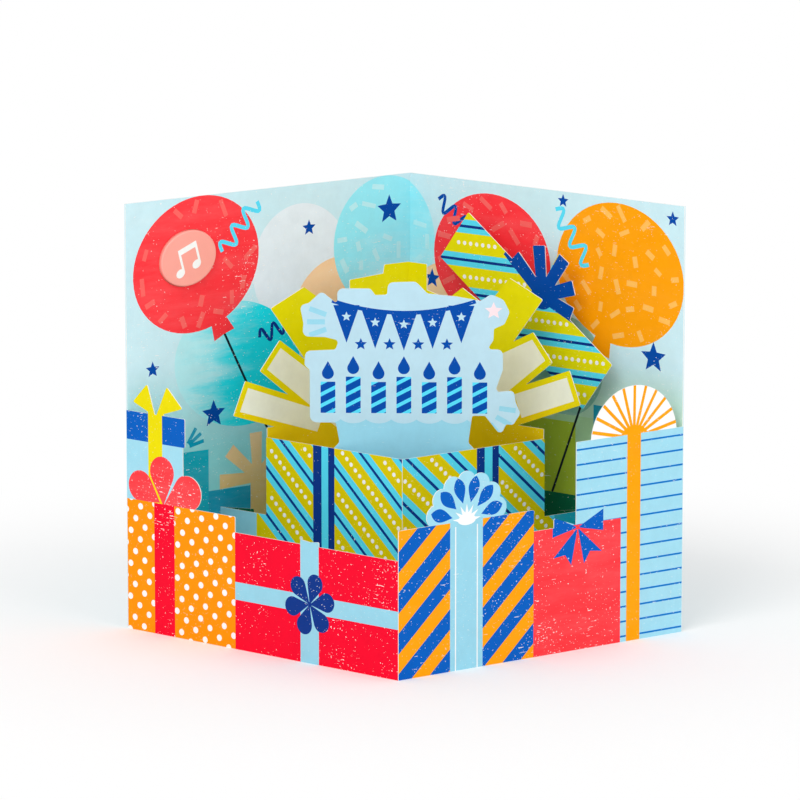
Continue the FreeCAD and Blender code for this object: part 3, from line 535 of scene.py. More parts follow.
def film(name, parts, material, slot, body="card"):
    """Printed film on one or more boards, each given as (node, board, artwork)."""
    vertices, faces, shades, worn, thin = [], [], [], [], []
    thickness = sizes().film / MM
    palette = inks()
    for node, board, art in parts:
        flat, inked = art.triangles(board.printed_triangles(node))
        used = sorted({i for triangle, number in inked for i in triangle})
        top = {old: len(vertices) + n for n, old in enumerate(used)}
        under = {old: top[old] + len(used) for old in used}
        for depth in (board.face + thickness, board.face):
            vertices.extend(board.place(flat[i][0], flat[i][1], depth) for i in used)
        edges = {}
        for triangle, number in inked:
            wear = WEARS.get(art.shape(number).ink, 1.0)
            colours = [art.shade(number, flat[i], palette) for i in triangle]
            thinness = [art.thinness(number, flat[i]) for i in triangle]
            a, b, c = triangle
            faces.extend([[top[a], top[b], top[c]], [under[c], under[b], under[a]]])
            shades.extend(colours + colours[::-1])
            worn.extend([wear] * 2)
            thin.extend(thinness + thinness[::-1])
            for n, pair in enumerate(((a, b), (b, c), (c, a))):
                edges[pair] = colours[n], wear
        for (a, b), (shade, wear) in edges.items():
            if (b, a) not in edges:
                faces.append([top[b], top[a], under[a], under[b]])
                shades.extend([shade] * 4)
                worn.append(wear)
                thin.extend([0.0] * 4)
    mesh = bpy.data.meshes.new(name)
    mesh.from_pydata(vertices, [], faces)
    layer = mesh.attributes.new("ink", "FLOAT_COLOR", "CORNER")
    layer.data.foreach_set("color", [value for shade in shades for value in shade])
    mesh.attributes.new("wear", "FLOAT", "FACE").data.foreach_set("value", worn)
    mesh.attributes.new("thin", "FLOAT", "CORNER").data.foreach_set("value", thin)
    mesh.materials.append(material)
    thing = new_object(name, mesh)
    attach(thing, body)
    return thing


class Grower(Nodes):
    """A new modifier tree with named inputs, given as (name, kind of socket)."""

    def __init__(self, name, inputs):
        tree = bpy.data.node_groups.new(name, "GeometryNodeTree")
        tree.is_modifier = True
        super().__init__(tree)
        for way in ("INPUT", "OUTPUT"):
            tree.interface.new_socket("Geometry", in_out=way, socket_type="NodeSocketGeometry")
        self.ids = {label: tree.interface.new_socket(label, in_out="INPUT",
                                                     socket_type="NodeSocket" + kind).identifier
                    for label, kind in inputs}
        self.source = self.add("NodeGroupInput").outputs

    def end(self, geometry):
        """Ends the tree with real geometry in the chosen material."""
        real = self.add("GeometryNodeRealizeInstances", None, {"Geometry": geometry})
        finish = self.add("GeometryNodeSetMaterial", None, {
            "Geometry": real.outputs["Geometry"], "Material": self.source["Material"]})
        self.add("NodeGroupOutput", None, {"Geometry": finish.outputs["Geometry"]})
        return self.tree, self.ids


DOT_SIDES = 12
DOT_MARGIN = 0.3             # print left free round a dot, in millimetres


def dot_tree():
    """Round dots along every row that the input mesh's edges make."""
    grower = Grower("Dot rows", (("Pitch", "Float"), ("Radius", "Float"), ("Thickness", "Float"),
                                 ("Material", "Material")))
    source = grower.source
    curve = grower.add("GeometryNodeMeshToCurve", None, {"Mesh": source["Geometry"]})
    spots = grower.add("GeometryNodeCurveToPoints", {"mode": "LENGTH"}, {
        "Curve": curve.outputs["Curve"], "Length": source["Pitch"]})
    dot = grower.add("GeometryNodeMeshCylinder", None, {
        "Vertices": DOT_SIDES, "Radius": source["Radius"], "Depth": source["Thickness"]})
    place = grower.add("GeometryNodeInstanceOnPoints", None, {
        "Points": spots.outputs["Points"], "Instance": dot.outputs["Mesh"]})
    return grower.end(place.outputs["Instances"])


SMALLEST_DASH = (0.55, 0.8, 1.0)    # a dash's length, width and height, as shares of the full size
LARGEST_DASH = (1.15, 1.05, 1.0)


def confetti_tree():
    """Short dashes strewn evenly over the input mesh, each turned and sized by chance."""
    grower = Grower("Confetti", (("Distance", "Float"), ("Dash", "Vector"), ("Seed", "Int"),
                                 ("Material", "Material")))
    source = grower.source
    strew = grower.add("GeometryNodeDistributePointsOnFaces", {"distribute_method": "POISSON"}, {
        "Mesh": source["Geometry"], "Distance Min": source["Distance"], "Density Max": 1.0,
        "Seed": source["Seed"]})
    dash = grower.add("GeometryNodeMeshCube", None, {"Size": source["Dash"]})
    turn = grower.add("FunctionNodeRandomValue", {"data_type": "FLOAT_VECTOR"}, {
        0: (0.0, 0.0, 0.0), 1: (0.0, 0.0, math.tau), "Seed": source["Seed"]})
    size = grower.add("FunctionNodeRandomValue", {"data_type": "FLOAT_VECTOR"}, {
        0: SMALLEST_DASH, 1: LARGEST_DASH})
    place = grower.add("GeometryNodeInstanceOnPoints", None, {
        "Points": strew.outputs["Points"], "Instance": dash.outputs["Mesh"],
        "Rotation": turn.outputs[0], "Scale": size.outputs[0]})
    return grower.end(place.outputs["Instances"])


def grown(name, mesh, tree, values, material):
    """The plain mesh that a tree makes of a source mesh, in its material."""
    source = new_object(name + "_source", mesh)
    modifier = source.modifiers.new("Grow", "NODES")
    modifier.node_group = tree
    for identifier, value in values.items():
        modifier[identifier] = value
    bpy.context.view_layer.update()
    graph = bpy.context.evaluated_depsgraph_get()
    result = bpy.data.meshes.new_from_object(source.evaluated_get(graph), depsgraph=graph)
    result.name = name
    result.materials.clear()
    result.materials.append(material)
    source.modifiers.remove(modifier)
    bpy.data.objects.remove(source)
    return result


def merged(name, meshes, body="card"):
    """One object of several meshes that already lie in their places and share a material."""
    vertices, faces = [], []
    for mesh in meshes:
        first = len(vertices)
        vertices.extend(v.co.copy() for v in mesh.vertices)
        faces.extend([first + i for i in polygon.vertices] for polygon in mesh.polygons)
    result = bpy.data.meshes.new(name)
    result.from_pydata(vertices, [], faces)
    result.materials.append(meshes[0].materials[0])
    thing = new_object(name, result)
    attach(thing, body)
    return thing


def dot_runs(lines, pitch, node, board, avoid):
    """The parts of dot lines that lie on a node's print and clear of some outlines."""
    rim = rim_edges(board.printed_triangles(node))
    reach = sizes().dot / MM + DOT_MARGIN
    ring = numpy.array([polar(0, 0, reach, 45 * i) for i in range(8)])
    runs = []
    for start, end in lines:
        start, end = Vector(start), Vector(end)
        step = (end - start).normalized() * pitch
        count = int((end - start).length / pitch)
        spots = numpy.array([(start + step * i)[:] for i in range(count)])
        probes = (spots[:, None, :] + ring[None, :, :]).reshape(-1, 2)
        clear = enclosed(probes, rim)
        for outline in avoid:
            clear &= ~enclosed(probes, loop_edges(outline))
        clear = list(clear.reshape(count, -1).all(axis=1)) + [False]
        first = None
        for i, free in enumerate(clear):
            if free and first is None:
                first = i
            if not free and first is not None:
                # a little past the last dot, so that rounding keeps it
                runs.append((spots[first], spots[i - 1] + numpy.array(step[:]) * 0.1))
                first = None
    return runs


def dot_rows(name, runs, board, pitch, material):
    """Dots along straight runs, each given as two (s, z) ends, on a board's film."""
    mesh = bpy.data.meshes.new(name + "_rows")
    points = [(p[0], p[1], 0.0) for run in runs for p in run]
    mesh.from_pydata(points, [(i, i + 1) for i in range(0, len(points), 2)], [])
    tree, ids = dot_tree()
    result = grown(name, mesh, tree, {
        ids["Pitch"]: pitch, ids["Radius"]: sizes().dot / MM,
        ids["Thickness"]: sizes().film / MM, ids["Material"]: material}, material)
    result.transform(board.matrix(board.face + sizes().film / MM))
    return result


def confetti(name, outline, board, distance, seed, material):
    """Dashes strewn over an outline on a board's film."""
    mesh = bpy.data.meshes.new(name + "_field")
    mesh.from_pydata([(p[0], p[1], 0.0) for p in outline], [], [list(range(len(outline)))])
    tree, ids = confetti_tree()
    dash = (sizes().dash / MM, sizes().dash_width / MM, sizes().film / MM)
    result = grown(name, mesh, tree, {
        ids["Distance"]: distance, ids["Dash"]: dash,
        ids["Seed"]: sizes().confetti_seed + seed, ids["Material"]: material}, material)
    result.transform(board.matrix(board.face + sizes().film / MM))
    return result


def without_holes(mesh, board, holes):
    """The mesh without the dashes whose middles lie in ellipses on the board."""
    work = bmesh.new()
    work.from_mesh(mesh)
    seen = set()
    doomed = []
    for start in work.verts:
        if start in seen:
            continue
        island, queue = [], [start]
        seen.add(start)
        while queue:
            vertex = queue.pop()
            island.append(vertex)
            for edge in vertex.link_edges:
                other = edge.other_vert(vertex)
                if other not in seen:
                    seen.add(other)
                    queue.append(other)
        middle = sum((v.co for v in island), Vector()) / len(island)
        s, z, _ = board.local(middle)
        if any(((s - hole_s) / half_width) ** 2 + ((z - hole_z) / half_height) ** 2 < 1
               for hole_s, hole_z, half_width, half_height in holes):
            doomed.extend(island)
    bmesh.ops.delete(work, geom=doomed, context="VERTS")
    work.to_mesh(mesh)
    work.free()
    return mesh


# Shaders


class Shader(Nodes):
    """A new material and the patterns that its surface is made of."""

    def __init__(self, name):
        self.material = bpy.data.materials.new(name)
        self.material.use_nodes = True
        super().__init__(self.material.node_tree)
        self.surface = self.tree.nodes["Principled BSDF"]

    def noise(self, scale, detail=2.0, roughness=0.5, stretch=(1.0, 1.0, 1.0), offset=0.0):
        """Noise with a number of features to a millimetre on Object coordinates."""
        place = self.add("ShaderNodeTexCoord")
        moved = self.add("ShaderNodeMapping", None, {
            "Vector": place.outputs["Object"], "Location": (offset, offset, offset),
            "Scale": tuple(scale * s / MM for s in stretch)})
        node = self.add("ShaderNodeTexNoise", None, {
            "Vector": moved.outputs["Vector"], "Scale": 1.0, "Detail": detail,
            "Roughness": roughness})
        return Wire(self, node.outputs["Fac"])

    def attribute(self, name):
        node = self.add("ShaderNodeAttribute", {"attribute_name": name})
        return Wire(self, node.outputs["Fac"])

    def mix(self, share, first, second):
        """Colour between two, by a share."""
        node = self.add("ShaderNodeMix", {"data_type": "RGBA"}, {0: share, 6: first, 7: second})
        return node.outputs[2]

    def brighter(self, colour_in, factor):
        """Colour times a factor."""
        node = self.add("ShaderNodeVectorMath", {"operation": "SCALE"},
                        {0: colour_in, "Scale": factor})
        return node.outputs[0]

    def finish(self, base, roughness, height=None, distance=0.02, fixed=None):
        """Sets the surface: base colour, roughness, bump height and sockets of one value. The
        bump's distance is in millimetres."""
        self.feed(self.surface.inputs["Base Color"], base)
        self.feed(self.surface.inputs["Roughness"], roughness)
        if height is not None:
            bump = self.add("ShaderNodeBump", None, {
                "Height": height, "Distance": distance * MM, "Strength": 1.0})
            self.feed(self.surface.inputs["Normal"], bump.outputs["Normal"])
        for name, value in (fixed or {}).items():
            self.surface.inputs[name].default_value = value
        return self.material


PRINT_GLOSS = {"Specular IOR Level": 0.05, "Coat Weight": 0.03, "Coat Roughness": 0.3}


def printed(name, ink=None, wear=1.0):
    """Coated board in print: mottled and brushed ink with worn specks and scratches."""
    shader = Shader(name)
    paper = tuple(inks().white)
    mottle = shader.noise(0.16, 5.0, 0.62)
    brush = shader.noise(0.5, 3.0, 0.6, stretch=(1.0, 1.0, 0.35), offset=4.0)
    keep = 1.0
    if ink is None:
        layer = shader.add("ShaderNodeAttribute", {"attribute_name": "ink"}).outputs
        keep = shader.attribute("wear")
        brushed = shader.attribute("thin")
        streak = shader.noise(0.07, 8.0, 0.72, stretch=(0.3, 0.3, 1.6), offset=7.0)
        thin = (0.2 + 0.6 * streak + 0.34 * brushed).between(0.58, 0.86)
        source = shader.mix(thin * Wire(shader, layer["Alpha"]) * 0.6, layer["Color"], paper)
    else:
        source = tuple(getattr(inks(), ink))
    shade = shader.brighter(source, 0.90 + 0.15 * mottle + 0.05 * brush)
    amount = sizes().wear * wear
    cluster = shader.noise(0.035, 3.0, 0.6, offset=9.0)
    fleck = shader.noise(1.25, 1.5, 0.6, offset=2.0) + 0.16 * cluster
    scratch = shader.noise(1.1, 2.0, 0.6, stretch=(0.22, 0.22, 1.5), offset=5.0) + 0.34 * cluster
    worn = (fleck.between(0.82 - 0.10 * amount, 0.85 - 0.10 * amount)
            + scratch.between(0.93 - 0.10 * amount, 0.965 - 0.10 * amount)).between(0.0, 1.0)
    base = shader.mix(worn * keep * 0.88 * min(1.0, amount * 4), shade, paper)
    fibre = shader.noise(3.2, 3.0, 0.6, offset=1.0)
    return shader.finish(base, 0.40 + 0.12 * mottle, fibre, 0.012, PRINT_GLOSS)


def white_board(name, shade):
    """Uncoated white board with its fibres."""
    shader = Shader(name)
    fibre = shader.noise(1.6, 5.0, 0.68, stretch=(1.0, 1.0, 0.5))
    cloud = shader.noise(0.05, 3.0, 0.5, offset=5.0)
    base = shader.brighter(linear(shade), 0.93 + 0.06 * cloud + 0.05 * fibre)
    return shader.finish(base, 0.72 + 0.12 * fibre, fibre, 0.03, {"Specular IOR Level": 0.25})


def plastic(name, shade, roughness, grain=0.02, coat=0.0):
    """Moulded plastic with a faint grain and handling marks."""
    shader = Shader(name)
    cloud = shader.noise(0.08, 3.0, 0.6)
    rub = shader.noise(0.5, 4.0, 0.7, stretch=(1.0, 1.0, 0.4), offset=3.0)
    base = shader.brighter(linear(shade), 0.95 + 0.08 * cloud)
    return shader.finish(base, roughness + 0.14 * rub - 0.05, shader.noise(2.4, 2.0), grain,
                         {"Coat Weight": coat})


def metal(name, shade, roughness):
    """Sheet metal with fine drawn lines."""
    shader = Shader(name)
    lines = shader.noise(1.5, 4.0, 0.6, stretch=(1.0, 1.0, 0.06))
    cloud = shader.noise(0.15, 3.0, 0.6, offset=6.0)
    base = shader.brighter(linear(shade), 0.88 + 0.16 * cloud)
    return shader.finish(base, roughness + 0.16 * lines, lines, 0.006, {"Metallic": 1.0})


def circuit_laminate():
    """Green solder resist with paler tracks under it."""
    shader = Shader("circuit_laminate")
    tracks = shader.noise(0.35, 0.0, 0.5, stretch=(1.0, 1.0, 0.12)).between(0.50, 0.52)
    base = shader.mix(tracks * 0.5, linear("1F6B3C"), linear("3C9A58"))
    return shader.finish(base, 0.38 + 0.1 * tracks, tracks, 0.03, {"Coat Weight": 0.3})


def cover_board():
    """Outer cover: pale blue print outside, white at its cut edges."""
    shader = Shader("cover_blue")
    mottle = shader.noise(0.12, 5.0, 0.62)
    brush = shader.noise(0.4, 3.0, 0.6, stretch=(1.0, 1.0, 0.35), offset=4.0)
    shade = shader.brighter(tuple(inks().ground), 0.90 + 0.13 * mottle + 0.05 * brush)
    facing = shader.add("ShaderNodeNewGeometry").outputs["Normal"]
    upright = shader.add("ShaderNodeSeparateXYZ", None, {0: facing}).outputs["Z"]
    size = shader.add("ShaderNodeMath", {"operation": "ABSOLUTE"}, {0: upright})
    edge = Wire(shader, size.outputs[0]).between(0.7, 0.8)
    base = shader.mix(edge, shade, tuple(inks().white))
    fibre = shader.noise(3.2, 3.0, 0.6, offset=1.0)
    return shader.finish(base, 0.42 + 0.12 * mottle, fibre, 0.012, PRINT_GLOSS)


def dress(nodes, material):
    """Puts a material on CAD nodes."""
    for node in nodes:
        mesh = frame["nodes"][node].data
        mesh.materials.clear()
        mesh.materials.append(material)


# Artwork of each board

BLEED = 2.0                  # how far print runs past a board's edge, which cuts it


def balloon(art, ink, x, z, half_width, half_height, turn, string):
    """Plain balloon with its knot, and a straight string to a point."""
    if string is not None:
        art.paint("string", strip([polar(x, z, half_height, turn - 90), string], 1.1))
    down, aside = turn - 90, polar(0, 0, 1.0, turn)
    knot = []
    for reach, side in ((-4.0, -3.4), (6.4, -5.6), (6.0, 0.0), (6.4, 5.6), (-4.0, 3.4)):
        foot = polar(x, z, half_height + reach, down)
        knot.append((foot[0] + aside[0] * side, foot[1] + aside[1] * side))
    art.paint(ink, knot)
    return art.paint(ink, ellipse(x, z, half_width, half_height, turn))


def dashes(art, x, z, directions, near, far, width, ink):
    for degrees in directions:
        art.paint(ink, strip([polar(x, z, near, degrees), polar(x, z, far, degrees)], width))


SHADE_TOP = 112.0            # height below which the back panels' ground turns into painted shade, darkest near the band
# Balloons: middle, half width, half height and turn in degrees
RED_BALLOON = (35.6, 152.9, 32.8, 28.4, 24.0)
CORAL_BALLOON = (45.5, 148.5, 32.0, 28.6, -8.0)
AMBER_BALLOON = (114.5, 149.4, 34.0, 30.2, -17.0)
FOLD_BALLOON_LEFT = (PANEL_WIDTH - 13.5, 153.0, 27.5, 29.0, 0.0)
FOLD_BALLOON_RIGHT = (FOLD_BALLOON_LEFT[0] - PANEL_WIDTH,) + FOLD_BALLOON_LEFT[1:]
FOLD_BALLOON_BRUSH = (0.008, -0.012)
STREAMERS = {"red": ((49, 157), (67, 177), 3.6, 3), "amber": ((80, 174), (98, 152), 3.6, 3)}
FOLD_STAR = (136.5, 167)     # the large star on the fold's balloon


def back_left_art():
    """Balloons round the press button, streamers and stars over a pile of plain gifts, on ground with
    painted shade low down.
    """
    art = Artwork("ground")
    # painted shade: the ground darkens into lagoon green low down, where the band shades the panel
    art.paint("ground", rect(-BLEED, -BLEED, PANEL_WIDTH + BLEED, SHADE_TOP),
              fade=("lagoon", SHADE_TOP, 68))
    art.paint("lilac", ellipse(90, 146.5, 25.5, 27.5, 4))
    art.paint("peach", ellipse(111, 124, 25.5, 25.2))
    art.paint("sky", ellipse(*FOLD_BALLOON_LEFT), brush=FOLD_BALLOON_LEFT[:2] + FOLD_BALLOON_BRUSH)
    art.paint("turquoise", ellipse(56.5, 108, 32.6, 27.0, -12), brush=(56.5, 108, -0.021, 0.004))
    dashes(art, 29.5, 74.5, (12, 34, 56), 2.0, 9.5, 1.6, "blue_gift")
    art.paint("teal", rect(26, -BLEED, 41.2, 72.4))
    art.paint("blue_gift", rect(41.2, -BLEED, 66.0, 54.2))
    art.paint("forest", rect(44, -BLEED, 67.0, 41.0))
    # the peach bow and column are print; their fade to sand towards the bottom is painted shade behind
    # the band
    art.paint("peach", rect(62.9, -BLEED, 77.5, 58), fade=("sand", 80, 40))
    for loop in bow_loops(66.4, 57.5, (0, 42, 92, 138, 180), (0.0, 2.2), (19.5, 3.2)):
        art.paint("peach", loop, fade=("sand", 80, 40))
    balloon(art, "coral", *RED_BALLOON, (86, 50))
    art.paint("aqua", strip(wave(*STREAMERS["red"]), 1.8))
    art.paint("ink_blue", strip(wave((68, 118), (87, 124), 3.2, 3), 1.5))
    for spot in ((*FOLD_STAR, 6.6), (44, 87.5, 6.2), (94, 163, 3.6), (13, 110, 3.6)):
        art.paint("navy", star(*spot))
    return art


def back_right_art():
    """Balloons, streamers and stars behind the tilted lid, over ground with painted shade low down."""
    art = Artwork("ground")
    # painted shade: the ground darkens into sage green low down, where the band and the rays shade the
    # panel
    art.paint("ground", rect(-BLEED, -BLEED, PANEL_WIDTH + BLEED, SHADE_TOP),
              fade=("sage", SHADE_TOP, 76))
    art.paint("sky", ellipse(*FOLD_BALLOON_RIGHT),
              brush=FOLD_BALLOON_RIGHT[:2] + FOLD_BALLOON_BRUSH)
    art.paint("peach", ellipse(22, 120, 24, 25, 8))
    art.paint("mist", ellipse(84, 107, 22, 22, 20))
    # painted shade: a sage field and an olive field darken the ground behind the band, the olive one
    # with a painted green cast bounced from the lime boards
    art.paint("sage", rect(80, -BLEED, 101, 86))
    art.paint("olive", rect(52, -BLEED, 91.4, 83))
    art.paint("forest", rect(56, -BLEED, 110, 51.4))
    art.paint("blue_gift", rect(101, -BLEED, 128, 92))
    balloon(art, "coral", *CORAL_BALLOON, None)
    balloon(art, "amber", *AMBER_BALLOON, (79.0, 51.4))
    art.paint("navy", strip(wave((16, 172), (34, 160), 3.4, 3), 1.6))
    art.paint("aqua", strip(wave(*STREAMERS["amber"]), 1.8))
    for spot in ((132.5, 116, 6.8), (12.5, 137, 4.4), (84, 178, 3.0), (142, 176, 3.4)):
        art.paint("navy", star(*spot))
    return art


DOT_GIFT = (60.2, 56.4)
DOT_STEP = (7.95, 2.05)
DOT_RISE = (2.75, 5.45)
DOT_RADIUS = 1.38


def front_left_art():
    """Dotted gift with a red bow, long red gift with a flower, blue gift with a yellow bow."""
    art = Artwork("yellow")
    art.paint("pale", rect(-BLEED, 50, 31.5, 82.0))
    art.paint("royal", rect(-BLEED, 82.0, 40, 94.2))
    art.paint("yellow", rect(12.1, 56, 20.0, 94.2))
    for tip, centre, radius in (
            ((18.6, 56.8), (7.6, 62.6), 6.4), ((20.4, 55.6), (19.7, 70.0), 6.4),
            ((20.0, 55.0), (34.1, 62.8), 7.4)):
        art.paint("coral", petal(tip, centre, radius + 0.3))
    gift = art.paint("orange", rect(-BLEED, -BLEED, *DOT_GIFT))
    for row in range(-16, 13):
        for column in range(-4, 13):
            x = DOT_STEP[0] * column + DOT_RISE[0] * row + 2.0
            z = DOT_STEP[1] * column + DOT_RISE[1] * row + 42.9
            if -BLEED < x < DOT_GIFT[0] + BLEED and -BLEED < z < DOT_GIFT[1] + BLEED:
                art.paint("white", ellipse(x, z, DOT_RADIUS, DOT_RADIUS, count=18), gift)
    art.paint("red", rect(15.2, -BLEED, 26.5, 56.4), gift)
    art.paint("red", rect(60.2, -BLEED, 152, 60))
    art.paint("ribbon", rect(60.2, 21.2, 152, 28.8))
    art.paint("ribbon", rect(95.9, -BLEED, 105.8, 60))
    for i in range(6):
        degrees = 12 + 60 * i
        art.paint("ink_blue", petal((100.9, 25.0), polar(100.9, 25.0, 9.4, degrees), 4.1))
    art.paint("ink_blue", ellipse(100.9, 25.0, 1.1, 1.1, count=16))
    return art


STRIPE_GIFT = (69.2, 62.4)
STRIPE_SLOPE = 0.91
STRIPE_PERIOD = 17.0
STRIPE_BLUE = 8.7
STRIPE_START = 28.0
STRIPE_ENDS = (-3, 75)       # a stripe runs past the gift's sides and is cut to it
FAN = (34.6, 62.4)
TALL_LEFT = PANEL_WIDTH - 56.6
TALL_TOP = 88.4
ROSETTE = (PANEL_WIDTH - 26.2, 86.6)


def front_right_art():
    """Striped gift with a fan bow, red gift with a blue bow, tall lined gift with a rosette."""
    art = Artwork("pale")
    art.paint("white", rect(TALL_LEFT - 5, TALL_TOP - 6, PANEL_WIDTH + BLEED, 120))
    for i in range(13):
        degrees = -4 + 15.6 * i
        art.paint("amber", strip([ROSETTE, polar(*ROSETTE, 40, degrees)], 1.45))
    art.paint("amber", ellipse(ROSETTE[0], ROSETTE[1], 7.4, 5.6))
    tall = art.paint("pale", rect(TALL_LEFT - 5, -BLEED, PANEL_WIDTH + BLEED, TALL_TOP))
    for i in range(14):
        height = 2.35 + 6.36 * i
        art.paint("azure",
                  rect(TALL_LEFT - 5, height - 0.4, PANEL_WIDTH + BLEED, height + 0.4), tall)
    art.paint("amber", rect(118.2, -BLEED, 125.4, TALL_TOP))
    art.paint("coral", rect(STRIPE_GIFT[0], -BLEED, 115.0, 53.4))
    knot = (92.2, 52.2)
    for outline in ([(79.0, 58.6), knot, (79.0, 49.4)], [(105.7, 58.6), knot, (105.7, 49.4)],
                    [knot, (79.4, 40.6), (85.6, 41.2), (88.9, 36.6)],
                    [knot, (95.6, 36.4), (98.8, 41.4), (105.0, 40.6)]):
        art.paint("royal", outline)
    art.paint("coral", ellipse(knot[0], knot[1], 1.0, 0.8, count=14))
    art.paint("pale", rect(-BLEED, STRIPE_GIFT[1], 66, 95))
    gift = art.paint("amber", rect(-BLEED, -BLEED, *STRIPE_GIFT))
    for i in range(-5, 4):
        low = STRIPE_START + STRIPE_PERIOD * i
        (left, start), (right, end) = [(x, low + STRIPE_SLOPE * x) for x in STRIPE_ENDS]
        art.paint("royal", [(left, start), (right, end), (right, end + STRIPE_BLUE),
                            (left, start + STRIPE_BLUE)], gift)
    art.paint("ribbon", rect(26.1, -BLEED, 42.8, STRIPE_GIFT[1]))
    for edge in (28.9, 40.0):
        art.paint("white", rect(edge - 0.26, -BLEED, edge + 0.26, STRIPE_GIFT[1]))
    for i in range(6):
        art.paint("royal", leaf(FAN[0], FAN[1], 15 + 30 * i, 7.6, 18.9, 5.6))
    art.paint("ribbon", rect(26.1, STRIPE_GIFT[1] - 2, 42.8, STRIPE_GIFT[1] + 0.6))
    for i in range(7):
        degrees = 8 + 164 * i / 6
        art.paint("white", [polar(*FAN, 1.6, degrees - 60), polar(*FAN, 7.2, degrees),
                            polar(*FAN, 1.6, degrees + 60)])
    art.paint("white", ellipse(FAN[0], FAN[1] + 0.4, 4.6, 2.2, count=24))
    return art


STRIPE_FALL = 0.93           # how far the wrap's stripes fall for each millimetre along
WRAP_PERIOD = 20.3           # height between two equal stripes
WRAP_STRIPES = range(-2, 8)  # enough stripes for the whole board, and some past its ends
WRAP_END = 80.0              # from the front fold to the wrap's end on the low arms
WRAP_TOP = 46.7


def wrap_stripes(art, line):
    """Blue stripes of the wrap, each with a dark line, from a height at the board's start."""
    left, right = -BLEED, BAND_ARM + BLEED
    for i in WRAP_STRIPES:
        middle = line + WRAP_PERIOD * i
        start, end = middle - STRIPE_FALL * left, middle - STRIPE_FALL * right
        for half, ink in ((4.6, "aqua"), (0.85, "ink_blue")):
            art.paint(ink, [(left, start - half), (right, end - half),
                            (right, end + half), (left, start + half)])


def wrap_lines(line):
    """Lines of dots midway between the stripes, over the whole board."""
    middles = [line + WRAP_PERIOD * (i + 0.5) for i in WRAP_STRIPES]
    return [tuple((s, middle - STRIPE_FALL * s) for s in (-1, BAND_ARM + BLEED))
            for middle in middles]


DOT_PITCH = 3.15
RIBBON_TOP = 90.0            # past the band's upper edge, which cuts the ribbon
LEFT_LINE = 77.6 + STRIPE_FALL * 25.9 + WRAP_PERIOD / 2
RIGHT_LINE = 82.2
LEFT_RIBBON = (BAND_ARM - 48.4, BAND_ARM - 43.8, BAND_ARM - 40.1, BAND_ARM - 36.7)
RIGHT_RIBBON = (38.6, 42.7, 46.8, 50.1)
LEFT_END = rect(-BLEED, -BLEED, BAND_ARM - WRAP_END, WRAP_TOP + 1)
RIGHT_END = rect(WRAP_END, -BLEED, BAND_ARM + BLEED, WRAP_TOP + 1)


def band_art(line, ribbon, end, end_ink):
    """Striped wrap with an upright three-part ribbon, plain where the low arm ends."""
    # ground of lime print, made more golden as painted shade inside the ring
    art = Artwork("gold_lime")
    wrap_stripes(art, line)
    art.paint("ink_blue", rect(ribbon[0], -BLEED, ribbon[3], RIBBON_TOP))
    art.paint("aqua", rect(ribbon[1], -BLEED, ribbon[2], RIBBON_TOP))
    art.paint(end_ink, end)
    return art


# Ends of the two lower rays on each half of the burst: upper root, two corners, lower root
LEFT_FIELDS = [[(54.3, 111.4), (67.5, 121.3), (77.7, 109.1), (63.2, 97.4)],
               [(63.2, 97.4), (85.3, 105.7), (91.5, 91.3), (70.5, 84.4)]]
RIGHT_FIELDS = [[(57.8, 120.2), (68.3, 125.3), (78.6, 113.4), (64.7, 102.5)],
                [(64.7, 102.5), (87.8, 111.2), (93.7, 97.0), (60.5, 84.4)]]
RAY_BORDER = 2.5
LEFT_INWARD = (46.0, 42.0)   # how far the upper and the lower ray's field runs inwards
RIGHT_INWARD = (46.0, 30.0)


def inset_field(corners, side, reach):
    """Ray's field inside its border, carried on inwards behind the plaque."""
    root_up, end_up, end_low, root_low = [Vector((side * c[0], c[1])) for c in corners]
    along_up, along_low = (end_up - root_up).normalized(), (end_low - root_low).normalized()
    across = (end_low - end_up).normalized()
    outward = (along_up + along_low).normalized()
    up = end_up - outward * RAY_BORDER + across * RAY_BORDER
    low = end_low - outward * RAY_BORDER - across * RAY_BORDER
    # where the two sides would meet, the field ends in a point
    turn = along_up.x * along_low.y - along_up.y * along_low.x
    gap = low - up
    inward = (gap.x * along_low.y - gap.y * along_low.x) / turn if abs(turn) > 1e-4 else -reach
    inward = min(reach, -inward * 0.98) if inward < 0 else reach
    return [tuple(up), tuple(low), tuple(low - along_low * inward), tuple(up - along_up * inward)]


def burst_art(fields, inward, side):
    """Lime rays that turn golden and darker towards their roots as painted shade, the lower two with a
    cream field.
    """
    art = Artwork("lime")
    # painted shade: the rays turn golden and darker towards their roots, low down behind the plaque
    # and band
    art.paint("lime", rect(-110, 60, 110, 112), fade=("gold", 112, 80))
    for corners, reach in zip(fields, inward):
        art.paint("cream", inset_field(corners, side, reach))
    return art


ROPE = (30.0, 143.0, 5.0)    # the pennants' rope: half its span, its ends' height and its sag
PENNANTS = 5
PENNANT_PITCH = 12.0
PENNANT = (11.0, 16.0)       # width and height
PLAQUE_STEM = (-32.5, 28.5)  # sides of the deeper blue part under the candles
CANDLES = 7
CANDLE_PITCH = 10.6
CANDLE_FOOT = 95.3
CANDLE_TOPS = (108.6, 110.8)
CANDLE_HALF = 3.1


def in_row(count, pitch):
    """Places of a number of things in a row about zero."""
    return [pitch * (i - (count - 1) / 2) for i in range(count)]


def rope_height(x):
    half_span, height, sag = ROPE
    return height - sag * (1 - (x / half_span) ** 2)


